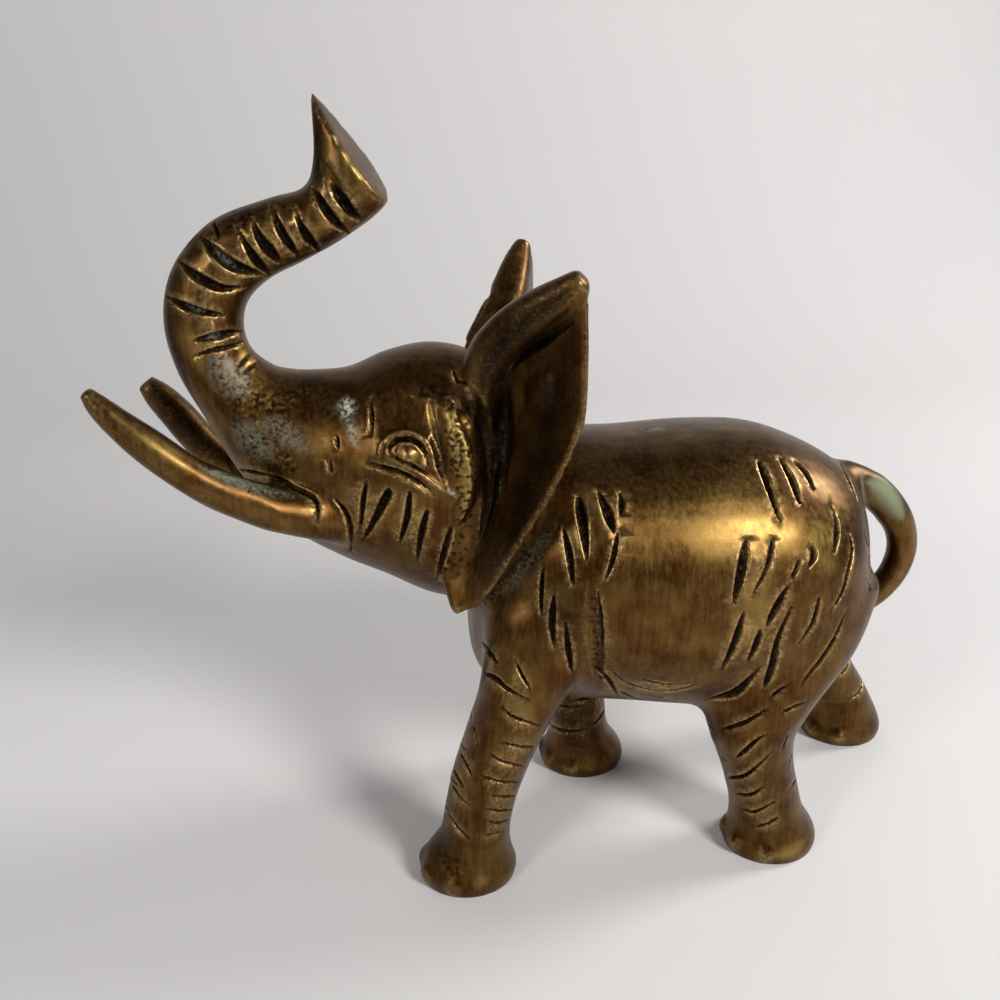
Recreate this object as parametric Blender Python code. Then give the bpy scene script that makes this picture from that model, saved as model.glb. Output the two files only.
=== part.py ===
"""A cast brass elephant, striding with its trunk raised: one closed solid on four flat soles."""
import math

import bmesh
import bpy
import numpy as np
from mathutils import Vector
from mathutils.bvhtree import BVHTree

# Driving sizes in metres. The elephant faces -X and its left side is -Y.
HEIGHT = 0.180
EAR_WALL = 0.0034
TAIL_THICKNESS = 0.0078
TUSK_THICKNESS = 0.0126
FOOT_LENGTH = 0.0242
FOOT_WIDTH = 0.0208
CUT_WIDTH = 0.0026
CUT_DEPTH = 0.0016
GRAIN = 0.00075
TRIANGLES = 9700
TRUNK_END_TURN = math.radians(14)

# Over how many of the last rings the trunk's end turns, and how much wider than an oval its low side is
TRUNK_END_RINGS, TRUNK_END_DROP = 6, 0.45

# The free form is drawn at 180 units to its height, from the soles to the trunk's tip.
UNIT = HEIGHT / 180

# How far the metal runs out where two forms meet, in units, and how the skin is smoothed there
FILLETS = {"barrel": 8.0, "head": 8.0, "leg": 8.0, "tail": 3.0, "tusk": 1.0, "ear": 2.5}
FILLET_ROUNDS, FILLET_SHARE = 60, 0.6
SKIN_ROUNDS, SKIN_SHARE = 2, 0.5

# Cuts through the barrel, chest to rump: x, top z, bottom z, half width
BARREL = [
    (-18.5, 70.0, 52.0, 8.0),
    (-15.5, 84.0, 46.0, 17.0),
    (-9.0, 98.0, 42.0, 24.5),
    (2.0, 106.5, 40.5, 29.5),
    (18.0, 106.8, 38.6, 32.0),
    (38.0, 107.4, 35.4, 33.2),
    (52.0, 106.2, 34.8, 32.6),
    (62.0, 102.6, 37.0, 30.4),
    (70.0, 98.4, 40.5, 26.2),
    (75.5, 94.0, 46.0, 19.0),
    (79.0, 88.0, 53.0, 10.5),
]

# Cuts through neck, head and trunk: upper or inner x, z; lower or outer x, z; half width
HEAD = [
    (8.0, 105.0, -8.0, 50.0, 22.0),
    (-5.5, 115.0, -15.5, 59.5, 20.5),
    (-16.0, 126.2, -21.0, 66.4, 19.8),
    (-26.0, 129.0, -30.0, 70.4, 22.4),
    (-36.0, 127.4, -38.5, 75.4, 21.5),
    (-44.0, 124.2, -48.5, 80.4, 18.8),
    (-51.0, 123.7, -59.8, 88.0, 15.5),
    (-56.5, 124.0, -69.5, 101.0, 12.4),
    (-61.0, 125.3, -76.4, 115.0, 9.6),
    (-65.0, 129.0, -81.0, 125.5, 8.4),
    (-66.1, 133.2, -82.5, 134.5, 8.3),
    (-65.0, 138.8, -80.0, 145.6, 8.2),
    (-60.4, 143.5, -71.5, 155.2, 7.9),
    (-52.0, 147.6, -58.5, 160.2, 7.2),
    (-44.5, 151.5, -51.3, 162.4, 6.9),
    (-38.4, 155.4, -49.4, 167.6, 6.9),
    (-34.2, 159.2, -49.2, 180.9, 6.4),
]

# The trunk's cuts: first and last place along HEAD's rows, count; then where a cut runs round the ring
TRUNK_CUTS = (8.6, 14.8, 12)
TRUNK_CUT_SWEEPS = ((238, 104), (258, 128))

# Cuts through each leg, hip to ankle: x, y, z, half length, half width
LEGS = {
    "left fore": [
        (-2.0, -16.0, 74.0, 15.0, 11.5),
        (-5.0, -19.0, 60.0, 13.0, 11.5),
        (-9.3, -20.5, 50.0, 10.2, 10.4),
        (-13.4, -21.0, 40.0, 9.2, 9.4),
        (-16.9, -21.0, 30.0, 8.7, 9.0),
        (-19.2, -20.6, 20.0, 8.3, 8.8),
        (-20.6, -20.4, 11.0, 8.8, 8.8),
    ],
    "right fore": [
        (4.0, 16.0, 74.0, 15.0, 11.5),
        (7.0, 18.0, 58.0, 13.0, 11.5),
        (9.6, 19.5, 46.0, 10.6, 10.6),
        (12.0, 20.0, 34.0, 9.0, 9.4),
        (13.8, 20.0, 22.0, 8.4, 8.8),
        (15.4, 20.0, 11.0, 8.6, 8.8),
    ],
    "left hind": [
        (60.0, -14.0, 72.0, 21.0, 14.0),
        (56.0, -17.0, 56.0, 18.5, 14.5),
        (50.5, -20.0, 44.0, 13.6, 12.6),
        (48.4, -21.0, 36.0, 11.0, 11.0),
        (50.0, -21.4, 28.0, 9.4, 9.8),
        (52.6, -21.5, 19.0, 9.0, 9.2),
        (54.8, -21.5, 11.0, 9.4, 9.2),
    ],
    "right hind": [
        (58.0, 14.0, 72.0, 17.0, 14.0),
        (61.0, 17.0, 56.0, 14.0, 13.2),
        (70.5, 19.5, 43.0, 11.4, 11.2),
        (83.0, 21.0, 32.0, 9.6, 9.8),
        (91.4, 21.8, 22.0, 8.6, 8.9),
        (97.0, 22.0, 12.0, 9.0, 8.8),
    ],
}
SOLES = {
    "left fore": (-22.1, -20.3),
    "right fore": (16.4, 20.3),
    "left hind": (56.4, -21.3),
    "right hind": (98.2, 22.4),
}
# Wrinkles round each leg: lowest and highest z, count; then toes: turns from the front, z, radius, height
LEG_CUTS = (14.0, 44.0, 8)
TOE_TURNS = (-65, -22, 22, 65)
TOE = (3.2, 3.6, 0.9)

# Rows of an ear, lobe to tip: z; x and reach of its front edge, x and reach of its back edge,
# how deep it is cupped, and the radius of the roll along its front edge
LEFT_EAR = [
    (73.8, -23.0, 22.6, -19.6, 24.4, 0.2, 1.7),
    (76.4, -25.0, 21.2, -18.4, 25.6, 0.8, 1.9),
    (80.6, -25.5, 19.0, -16.9, 27.3, 1.6, 2.0),
    (89.0, -23.4, 17.0, -13.4, 30.0, 3.4, 1.8),
    (99.0, -20.6, 16.5, -8.8, 33.2, 6.0, 1.6),
    (109.0, -18.8, 16.5, -4.4, 35.6, 7.6, 1.6),
    (116.0, -18.2, 17.6, -1.9, 36.8, 8.2, 2.0),
    (121.6, -18.4, 20.2, -0.3, 37.4, 8.2, 3.4),
    (127.0, -18.4, 22.6, 0.0, 37.6, 7.8, 4.2),
    (132.0, -17.0, 25.2, 0.0, 37.6, 6.8, 4.4),
    (137.0, -13.8, 28.6, -0.1, 37.5, 5.2, 4.3),
    (142.0, -8.8, 32.4, -0.5, 37.2, 3.2, 3.8),
    (145.2, -4.3, 34.8, -0.4, 36.9, 1.2, 3.2),
    (147.8, -0.9, 36.2, -0.3, 36.6, 0.2, 2.5),
]
RIGHT_EAR = [
    (74.0, -21.8, 21.6, -19.8, 23.2, 0.2, 2.0),
    (82.0, -23.0, 18.0, -16.2, 27.0, 1.5, 2.0),
    (92.0, -20.5, 17.0, -10.6, 31.0, 3.4, 1.8),
    (104.0, -17.2, 16.5, -4.0, 34.5, 6.0, 1.6),
    (114.0, -15.4, 17.4, 0.0, 35.8, 7.4, 2.2),
    (122.0, -13.8, 20.0, 1.8, 36.2, 7.4, 3.4),
    (129.0, -9.6, 23.6, 2.6, 36.4, 6.2, 3.6),
    (136.0, -5.4, 28.5, 2.8, 36.2, 4.4, 3.2),
    (142.0, -2.0, 32.5, 2.4, 35.8, 2.0, 2.8),
    (146.2, 0.7, 34.9, 1.4, 35.3, 0.4, 2.2),
]

# Tusk centre lines, socket to tip: x, y, z, share of the full thickness
LEFT_TUSK = [
    (-46.0, -12.8, 92.4, 0.82),
    (-55.0, -15.8, 95.9, 0.84),
    (-61.5, -17.0, 98.5, 0.80),
    (-67.3, -17.8, 101.3, 0.75),
    (-73.0, -18.8, 104.4, 0.68),
    (-79.1, -19.4, 109.0, 0.62),
    (-85.0, -19.0, 114.1, 0.60),
    (-90.0, -18.4, 118.7, 0.50),
    (-93.8, -18.0, 122.8, 0.38),
    (-95.9, -17.8, 125.7, 0.24),
]
RIGHT_TUSK = [
    (-48.0, 10.0, 83.0, 0.76),
    (-62.0, 12.6, 90.0, 0.72),
    (-72.0, 14.0, 96.2, 0.69),
    (-79.2, 15.0, 103.2, 0.66),
    (-85.2, 15.2, 111.6, 0.62),
    (-89.0, 15.2, 116.4, 0.50),
    (-91.0, 15.2, 118.8, 0.34),
]

# The tail, a loop that leaves the rump's top and comes back low: x, z, share of its thickness
TAIL = [
    (74.0, 92.5, 1.30),
    (82.0, 88.8, 1.25),
    (88.6, 83.6, 1.16),
    (93.4, 77.2, 1.02),
    (95.0, 70.6, 0.96),
    (93.6, 64.2, 0.92),
    (89.6, 58.6, 0.86),
    (84.4, 55.2, 0.80),
    (79.0, 53.2, 0.72),
]

# Cuts on both flanks, as seen from the side: start x, z; end x, z; bow to the front; width; depth
FLANK_CUTS = [
    (7.6, 100.2, 9.8, 92.0, -0.8, 1.5, 1.4),
    (12.4, 99.0, 12.0, 94.6, -0.5, 1.1, 1.1),
    (3.0, 98.0, 5.2, 88.0, -0.6, 1.2, 1.1),
    (0.4, 95.5, 2.8, 84.5, 0.0, 0.9, 1.0),
    (10.8, 92.5, 7.4, 82.5, -0.8, 0.9, 0.9),
    (-2.6, 91.0, -0.4, 80.5, 0.4, 1.0, 1.0),
    (-6.4, 88.5, -6.6, 76.0, 0.4, 1.1, 1.1),
    (-3.6, 78.4, -3.0, 67.0, 0.5, 1.0, 1.0),
    (-9.6, 72.4, -8.6, 62.6, 0.5, 0.9, 0.9),
    (1.0, 75.0, 1.6, 62.5, 0.5, 1.0, 1.0),
    (-18.0, 66.0, -15.4, 59.0, 0.3, 0.9, 0.8),
    (45.0, 103.0, 46.8, 92.0, -0.8, 1.3, 1.3),
    (51.0, 103.0, 52.6, 93.0, -1.0, 1.2, 1.2),
    (55.0, 101.6, 57.2, 96.6, -0.4, 1.1, 0.9),
    (37.6, 89.6, 35.8, 77.0, -0.6, 1.5, 1.2),
    (44.4, 89.0, 40.4, 76.6, -0.6, 0.9, 0.9),
    (50.2, 82.0, 43.6, 66.0, -0.8, 1.4, 1.2),
    (38.0, 72.4, 35.6, 60.0, -0.6, 1.2, 1.1),
    (51.6, 76.0, 47.6, 59.0, -0.8, 1.3, 1.2),
    (56.6, 76.4, 51.8, 64.6, -0.6, 1.0, 1.0),
    (54.4, 87.4, 55.0, 82.6, 0.0, 1.3, 1.0),
    (61.6, 94.0, 62.4, 84.4, -1.0, 1.1, 1.0),
    (65.2, 90.0, 59.2, 70.0, -2.4, 1.0, 1.0),
    (8.0, 55.6, 32.5, 54.6, 3.9, 0.9, 1.0),
    (11.0, 58.0, 31.0, 57.0, 2.6, 0.8, 0.8),
    (10.0, 51.0, 33.0, 50.0, 3.6, 0.8, 0.8),
    (33.0, 50.0, 46.0, 57.4, 1.4, 1.5, 1.1),
    (62.0, 72.0, 56.0, 58.0, -1.2, 1.0, 0.8),
    (67.0, 66.0, 60.0, 52.0, -1.2, 1.0, 0.7),
]

# Broad hollows of flank and temple, and the swellings between them (a depth below zero); then the
# same inside the left ear, and how much further back they lie in the right one
FLANK_FORMS = [
    (6.2, 88.0, 9.0, 52.0, 0.6, 3.2, 1.0),
    (33.5, 66.0, 33.0, 50.0, -1.0, 3.4, 0.6),
    (-29.0, 121.0, -26.4, 90.0, -5.0, 4.2, -1.5),
    (-38.0, 118.4, -30.0, 117.0, -1.0, 3.6, 0.8),
    (-25.0, 128.0, -17.4, 113.4, 0.8, 3.0, 1.8),
]
EAR_FORMS = [
    (-13.2, 128.0, -13.0, 97.0, 0.6, 3.8, 1.7),
    (-13.6, 131.0, -3.2, 141.6, 1.2, 2.0, 0.9),
    (-8.6, 124.4, -7.0, 117.0, 0.0, 3.4, -0.9),
]
RIGHT_EAR_BACK = 3.4

# The face's cuts: lids, the fold under the eye, the cheek's wrinkles and the tusk's socket
FACE_CUTS = [
    (-38.4, 110.6, -26.6, 106.4, -4.0, 0.8, 0.8),
    (-42.0, 109.4, -24.6, 101.0, -0.9, 0.8, 0.8),
    (-43.6, 107.2, -29.0, 101.4, -1.0, 0.8, 0.7),
    (-41.2, 103.4, -43.8, 91.6, 0.4, 0.8, 0.8),
    (-37.8, 103.2, -42.0, 93.0, -0.5, 1.0, 0.9),
    (-34.4, 102.6, -36.8, 89.0, -0.4, 1.0, 0.9),
    (-30.8, 98.6, -33.0, 84.0, -0.4, 0.9, 0.9),
    (-27.0, 92.0, -29.0, 80.0, -0.4, 0.9, 0.7),
    (-47.6, 106.0, -47.4, 90.5, -1.6, 0.8, 0.8),
    (-41.4, 121.6, -41.0, 114.8, 0.0, 0.6, 0.5),
]
# The eyeball's swelling: x, z, radius, height
EYE = (-33.2, 110.6, 3.4, 0.9)


def spline(rows, steps):
    """Points along a smooth curve through rows of numbers, `steps` to each span."""
    rows = np.array(rows, float)
    gaps = np.linalg.norm(np.diff(rows, axis=0), axis=1)
    slopes = np.diff(rows, axis=0) / gaps[:, None]
    tangents = np.empty_like(rows)
    tangents[0], tangents[-1] = slopes[0], slopes[-1]
    before, after = gaps[:-1, None], gaps[1:, None]
    tangents[1:-1] = (slopes[:-1] * after + slopes[1:] * before) / (before + after)
    points = []
    for index, gap in enumerate(gaps):
        for t in np.arange(steps) / steps:
            points.append(rows[index] * (1 + 2 * t) * (1 - t) ** 2
                          + rows[index + 1] * t * t * (3 - 2 * t)
                          + tangents[index] * gap * t * (1 - t) ** 2
                          - tangents[index + 1] * gap * t * t * (1 - t))
    points.append(rows[-1])
    return np.array(points)


def closed_rings(name, rings):
    """One closed body over rings of equal count, with a flat cap at each end."""
    rings = [[Vector(point) for point in ring] for ring in rings]
    mesh = bmesh.new()
    loops = [[mesh.verts.new(point) for point in ring] for ring in rings]
    count = len(loops[0])
    for low, high in zip(loops, loops[1:]):
        for index in range(count):
            after = (index + 1) % count
            mesh.faces.new((low[index], low[after], high[after], high[index]))
    mesh.faces.new(loops[0])
    mesh.faces.new(loops[-1])
    bmesh.ops.triangulate(mesh, faces=[face for face in mesh.faces if len(face.verts) > 4])
    bmesh.ops.recalc_face_normals(mesh, faces=mesh.faces)
    return add_object(name, mesh)


def add_object(name, mesh):
    data = bpy.data.meshes.new(name)
    mesh.to_mesh(data)
    mesh.free()
    body = bpy.data.objects.new(name, data)
    bpy.context.collection.objects.link(body)
    return body


def oval(centre, across, along, squareness=2.0, count=48):
    """A ring about a centre, between an ellipse (2) and a rounded box (above 2)."""
    ring = []
    for index in range(count):
        angle = math.tau * index / count
        sine, cosine = math.sin(angle), math.cos(angle)
        share_across = math.copysign(abs(cosine) ** (2 / squareness), cosine)
        share_along = math.copysign(abs(sine) ** (2 / squareness), sine)
        ring.append(centre + across * share_across + along * share_along)
    return ring


def make_barrel():
    rings = []
    for x, top, bottom, half_width in spline(BARREL, 6) * UNIT:
        centre = Vector((x, 0, (top + bottom) / 2))
        half_height = (top - bottom) / 2
        rings.append(oval(centre, Vector((0, half_width, 0)), Vector((0, 0, half_height)), 2.1))
    return closed_rings("barrel", rings)


def head_ring(row, count=48):
    upper_x, upper_z, lower_x, lower_z, half_width = row * UNIT
    upper = Vector((upper_x, 0, upper_z))
    lower = Vector((lower_x, 0, lower_z))
    return oval((upper + lower) / 2, Vector((0, half_width, 0)), (upper - lower) / 2, count=count)


def make_head():
    """Neck, head and trunk in one; the trunk's flat end is drop-shaped, and turned a little to the left."""
    rings = [head_ring(row) for row in spline(HEAD, 6)]
    edge = (rings[-1][12] - rings[-1][36]).normalized()
    outward = edge.cross(Vector((0, 1, 0)))
    for step, ring in enumerate(rings[-TRUNK_END_RINGS:]):
        share = (step + 1) / TRUNK_END_RINGS
        middle = (ring[12] + ring[36]) / 2
        half_length = (ring[12] - ring[36]).length / 2
        for point in ring:
            lowness = (point - middle).dot(edge) / half_length
            point.y *= 1 + TRUNK_END_DROP * lowness * share
            point += outward * point.y * math.tan(TRUNK_END_TURN) * share
    return closed_rings("head", rings)


def leg_stations(name):
    """A leg flares into a round-edged pad, and runs on below the ground, where the sole is cut."""
    sole_x, sole_y = SOLES[name]
    half_length = FOOT_LENGTH / 2 / UNIT
    half_width = FOOT_WIDTH / 2 / UNIT
    return LEGS[name] + [
        (sole_x, sole_y, 5.4, half_length * 0.93, half_width * 0.93),
        (sole_x, sole_y, 2.6, half_length, half_width),
        (sole_x, sole_y, 0.6, half_length * 0.97, half_width * 0.97),
        (sole_x, sole_y, -2.4, half_length * 0.84, half_width * 0.84),
    ]


def make_leg(name):
    rings = []
    for x, y, z, half_length, half_width in spline(leg_stations(name), 6) * UNIT:
        rings.append(oval(Vector((x, y, z)), Vector((half_length, 0, 0)), Vector((0, half_width, 0))))
    return closed_rings(name + " leg", rings)


def make_rod(name, points, radii, count=28):
    """A round rod of changing radius along a curve."""
    rings = []
    points = [Vector(point) for point in points]
    for index, point in enumerate(points):
        before = points[max(index - 1, 0)]
        after = points[min(index + 1, len(points) - 1)]
        along = (after - before).normalized()
        across = along.cross(Vector((0, 1, 0))).normalized()
        upright = across.cross(along).normalized()
        rings.append(oval(point, across * radii[index], upright * radii[index], count=count))
    return closed_rings(name, rings)


def make_tusk(name, stations):
    curve = spline(stations, 5)
    return make_rod(name, curve[:, :3] * UNIT, curve[:, 3] * TUSK_THICKNESS / 2)


def make_tail():
    curve = spline(TAIL, 5)
    points = np.column_stack([curve[:, 0], np.zeros(len(curve)), curve[:, 1]]) * UNIT
    return make_rod("tail", points, curve[:, 2] * TAIL_THICKNESS / 2)


def make_ear(name, table, side):
    """A cupped leaf of metal with a rolled front edge, swept back from the temple."""
    rows, columns = spline(table, 5), 18
    mesh = bmesh.new()
    grid = []
    for z, front_x, front_reach, back_x, back_reach, cup, roll in rows:
        line = []
        for column in range(columns + 1):
            share = column / columns
            x = front_x + (back_x - front_x) * share
            reach = front_reach + (back_reach - front_reach) * share ** 1.3
            reach -= cup * math.sin(math.pi * share ** 0.8)
            line.append(mesh.verts.new(Vector((x, side * reach, z)) * UNIT))
        grid.append(line)
    for low, high in zip(grid, grid[1:]):
        for index in range(columns):
            mesh.faces.new((low[index], low[index + 1], high[index + 1], high[index]))
    bmesh.ops.recalc_face_normals(mesh, faces=mesh.faces)
    leaf = add_object(name, mesh)
    wall = leaf.modifiers.new("wall", "SOLIDIFY")
    wall.thickness = EAR_WALL
    wall.offset = 0
    wall.use_even_offset = False
    apply_modifiers(leaf)
    edge = [Vector((row[1], side * row[2], row[0])) * UNIT for row in rows]
    return [leaf, make_rod(name + " roll", edge, rows[:, 6] * UNIT, 20)]


def apply_modifiers(body):
    evaluated = body.evaluated_get(bpy.context.evaluated_depsgraph_get())
    data = bpy.data.meshes.new_from_object(evaluated)
    body.modifiers.clear()
    body.data = data


def join(bodies, name):
    """One object from several closed bodies, which the remesh then makes one skin."""
    mesh = bmesh.new()
    for body in bodies:
        mesh.from_mesh(body.data)
    return add_object(name, mesh)


def positions(data):
    values = np.empty(len(data.vertices) * 3, np.float32)
    data.vertices.foreach_get("co", values)
    return values.reshape(-1, 3).astype(float)


def normals(data):
    values = np.empty(len(data.vertices) * 3, np.float32)
    data.vertex_normals.foreach_get("vector", values)
    return values.reshape(-1, 3).astype(float)


def set_positions(data, points):
    data.vertices.foreach_set("co", points.astype(np.float32).ravel())
    data.update()


def relax(data, points, weights, rounds):
    """Move each point towards the middle of its neighbours, as far as its weight says."""
    pairs = np.empty(len(data.edges) * 2, np.int32)
    data.edges.foreach_get("vertices", pairs)
    first, second = pairs.reshape(-1, 2).T
    count = len(points)
    degree = np.bincount(first, minlength=count) + np.bincount(second, minlength=count)
    for _ in range(rounds):
        total = np.empty_like(points)
        for axis in range(3):
            total[:, axis] = (np.bincount(first, points[second, axis], count)
                              + np.bincount(second, points[first, axis], count))
        middle = total / degree[:, None]
        points = points + (middle - points) * weights[:, None]
    return points


def seam_weights(points, groups):
    """How near each point is to the meeting of two forms: 1 on the seam, 0 beyond its fillet."""
    nearest = np.full((len(points), 2), np.inf)
    for bodies, form in groups:
        fillet = FILLETS[form] * UNIT
        mesh = bmesh.new()
        for body in bodies:
            mesh.from_mesh(body.data)
        tree = BVHTree.FromBMesh(mesh)
        low = np.min([vertex.co for vertex in mesh.verts], axis=0) - fillet
        high = np.max([vertex.co for vertex in mesh.verts], axis=0) + fillet
        mesh.free()
        inside = np.flatnonzero(np.all((points > low) & (points < high), axis=1))
        for index in inside:
            distance = tree.find_nearest(points[index], fillet)[3]
            if distance is not None:
                share = distance / fillet
                nearest[index] = sorted((nearest[index, 0], nearest[index, 1], share))[:2]
    return np.clip(1 - nearest[:, 1], 0, 1) ** 0.5


def make_skin():
    """All the forms as one skin, with the metal run smooth where they meet."""
    barrel = make_barrel()
    head = make_head()
    legs = [make_leg(name) for name in LEGS]
    tusks = [make_tusk("left tusk", LEFT_TUSK), make_tusk("right tusk", RIGHT_TUSK)]
    tail = make_tail()
    ears = [make_ear("left ear", LEFT_EAR, -1), make_ear("right ear", RIGHT_EAR, 1)]
    groups = [([barrel], "barrel"), ([head], "head"), ([tail], "tail")]
    groups += [([leg], "leg") for leg in legs]
    groups += [([tusk], "tusk") for tusk in tusks]
    groups += [(ear, "ear") for ear in ears]
    bodies = [body for members, form in groups for body in members]
    skin = join(bodies, "elephant")
    remesh = skin.modifiers.new("one skin", "REMESH")
    remesh.mode = "VOXEL"
    remesh.voxel_size = GRAIN
    remesh.adaptivity = 0
    apply_modifiers(skin)
    points = positions(skin.data)
    points = relax(skin.data, points, seam_weights(points, groups) * FILLET_SHARE, FILLET_ROUNDS)
    points = relax(skin.data, points, np.full(len(points), SKIN_SHARE), SKIN_ROUNDS)
    set_positions(skin.data, points)
    for body in bodies:
        bpy.data.objects.remove(body)
    return skin


def bowed(start, end, bow, count=12):
    """Points of a shallow arc in the side view."""
    start, end = np.array(start), np.array(end)
    run = end - start
    sideways = np.array((run[1], -run[0])) / np.linalg.norm(run)
    shares = np.linspace(0, 1, count)[:, None]
    return start + run * shares + sideways * bow * 4 * shares * (1 - shares)


def onto_flank(tree, line, side):
    """Carry a line of the side view sideways onto the skin."""
    points = []
    for x, z in line * UNIT:
        hit = tree.ray_cast(Vector((x, side * HEIGHT, z)), Vector((0, -side, 0)))[0]
        if hit is not None:
            points.append(hit)
    return np.array(points)


def sink(points, path, width, depth):
    """How deep each point is cut by a stroke along a path: full in its middle, tapered to its ends."""
    result = np.zeros(len(points))
    if len(path) < 2:
        return result
    near = np.all((points > path.min(axis=0) - width) & (points < path.max(axis=0) + width), axis=1)
    chosen = points[near]
    best = np.full(len(chosen), np.inf)
    along = np.zeros(len(chosen))
    spans = len(path) - 1
    for index in range(spans):
        run = path[index + 1] - path[index]
        share = np.clip((chosen - path[index]) @ run / (run @ run), 0, 1)
        distance = np.linalg.norm(chosen - path[index] - share[:, None] * run, axis=1)
        closer = distance < best
        best[closer] = distance[closer]
        along[closer] = (index + share[closer]) / spans
    taper = np.clip(5 * np.minimum(along, 1 - along), 0.15, 1)
    profile = np.clip(1 - (best / (width * (0.4 + 0.6 * taper))) ** 2, 0, 1) ** 2
    result[near] = profile * depth * taper
    return result


def flank_paths(tree, table, side):
    """Width, depth and path of each stroke in a table, on one flank."""
    for start_x, start_z, end_x, end_z, bow, width, depth in table:
        line = bowed((start_x, start_z), (end_x, end_z), bow)
        yield width * CUT_WIDTH / 2, depth * CUT_DEPTH, onto_flank(tree, line, side)


def trunk_paths(draw):
    """Slanting cuts round the trunk, by turns from its outer and its inner side."""
    first, last, count = TRUNK_CUTS
    table = np.array(HEAD)
    stations = np.arange(len(table))
    for index, position in enumerate(np.linspace(first, last, count)):
        for side in (-1, 1):
            start, end = TRUNK_CUT_SWEEPS[index % 2]
            slant = draw.uniform(0.0, 0.3)
            path = []
            for share in np.linspace(0, 1, 12):
                place = position + slant * (share - 0.5)
                row = np.array([np.interp(place, stations, table[:, column]) for column in range(5)])
                angle = math.radians(start + (end - start) * share)
                ring = head_ring(row, 360)
                point = ring[int(math.degrees(angle)) % 360]
                path.append((point.x, side * abs(point.y), point.z))
            yield CUT_WIDTH * draw.uniform(0.40, 0.56), CUT_DEPTH * draw.uniform(0.7, 1.0), np.array(path)


def leg_paths(name, draw):
    """Wrinkles across a leg, each a slanting part of a turn about its outer side."""
    low, high, count = LEG_CUTS
    table = np.array(sorted(leg_stations(name), key=lambda row: row[2]))
    outer = math.radians(-90 if SOLES[name][1] < 0 else 90)
    for index, z in enumerate(np.linspace(low, high, count)):
        middle = outer + math.radians((-45, 50)[index % 2] + draw.uniform(-12, 12))
        reach = math.radians(draw.uniform(48, 66))
        slant = draw.uniform(1.0, 3.0)
        path = []
        for share in np.linspace(-1, 1, 12):
            level = z + slant * share
            x, y, half_length, half_width = [np.interp(level, table[:, 2], table[:, column])
                                             for column in (0, 1, 3, 4)]
            angle = middle + reach * share
            path.append((x + half_length * math.cos(angle), y + half_width * math.sin(angle), level))
        yield CUT_WIDTH * draw.uniform(0.40, 0.52), CUT_DEPTH * draw.uniform(0.6, 0.9), np.array(path) * UNIT


def swell(points, centre, radius, height):
    """A rounded swelling about a centre, as depths below zero."""
    distance = np.linalg.norm(points - np.array(centre), axis=1)
    return -height * np.clip(1 - (distance / radius) ** 2, 0, 1) ** 2


def carve(skin):
    """Broad forms first, then the cuts, each pushed in along the skin's own normals."""
    draw = np.random.default_rng(7)
    for broad in (True, False):
        points = positions(skin.data)
        tree = BVHTree.FromPolygons([Vector(point) for point in points],
                                    [face.vertices[:] for face in skin.data.polygons])
        depth = np.zeros(len(points))
        for side in (-1, 1):
            if broad:
                for width, deep, path in flank_paths(tree, FLANK_FORMS, side):
                    depth += sink(points, path, width, deep)
                back = RIGHT_EAR_BACK if side > 0 else 0
                inside_ear = [(x1 + back, z1, x2 + back, z2, *rest) for x1, z1, x2, z2, *rest in EAR_FORMS]
                for width, deep, path in flank_paths(tree, inside_ear, side):
                    depth += sink(points, path, width, deep)
            else:
                for width, deep, path in flank_paths(tree, FLANK_CUTS + FACE_CUTS, side):
                    depth = np.maximum(depth, sink(points, path, width, deep))
                eye_x, eye_z, radius, height = EYE
                centre = onto_flank(tree, np.array([(eye_x, eye_z)]), side)[0]
                depth += swell(points, centre, radius * UNIT, height * UNIT)
        if not broad:
            for width, deep, path in trunk_paths(draw):
                depth = np.maximum(depth, sink(points, path, width, deep))
            for name in LEGS:
                for width, deep, path in leg_paths(name, draw):
                    depth = np.maximum(depth, sink(points, path, width, deep))
                toe_z, radius, height = TOE
                for turn in TOE_TURNS:
                    angle = math.radians(180 + turn)
                    toe = (SOLES[name][0] * UNIT + FOOT_LENGTH / 2 * math.cos(angle),
                           SOLES[name][1] * UNIT + FOOT_WIDTH / 2 * math.sin(angle), toe_z * UNIT)
                    depth += swell(points, toe, radius * UNIT, height * UNIT)
        set_positions(skin.data, points - normals(skin.data) * depth[:, None])


def thin_out(skin):
    skin.data.calc_loop_triangles()
    decimate = skin.modifiers.new("fewer faces", "DECIMATE")
    decimate.ratio = TRIANGLES / len(skin.data.loop_triangles)
    apply_modifiers(skin)


def cut_soles(skin):
    """The soles lie in one plane, cut by a block that stands for the ground."""
    bpy.ops.mesh.primitive_cube_add(size=1)
    ground = bpy.context.object
    for vertex in ground.data.vertices:
        x, y, z = vertex.co
        vertex.co = Vector((x * 3, y * 3, (z - 0.5) / 2)) * HEIGHT
    cut = skin.modifiers.new("flat soles", "BOOLEAN")
    cut.operation = "DIFFERENCE"
    cut.solver = "EXACT"
    cut.object = ground
    apply_modifiers(skin)
    bpy.data.objects.remove(ground)


def centre_on_floor(skin):
    points = positions(skin.data)
    middle = (points.min(axis=0) + points.max(axis=0)) / 2
    middle[2] = 0
    set_positions(skin.data, points - middle)


def brass():
    material = bpy.data.materials.new("cast brass")
    material.use_nodes = True
    shader = material.node_tree.nodes["Principled BSDF"]
    shader.inputs["Base Color"].default_value = (0.33, 0.20, 0.07, 1)
    shader.inputs["Metallic"].default_value = 1
    shader.inputs["Roughness"].default_value = 0.42
    return material


def main():
    for old in list(bpy.data.objects):
        bpy.data.objects.remove(old)
    skin = make_skin()
    carve(skin)
    thin_out(skin)
    cut_soles(skin)
    centre_on_floor(skin)
    skin.data.materials.append(brass())
    skin.data.shade_smooth()


main()
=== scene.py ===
import math

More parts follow.
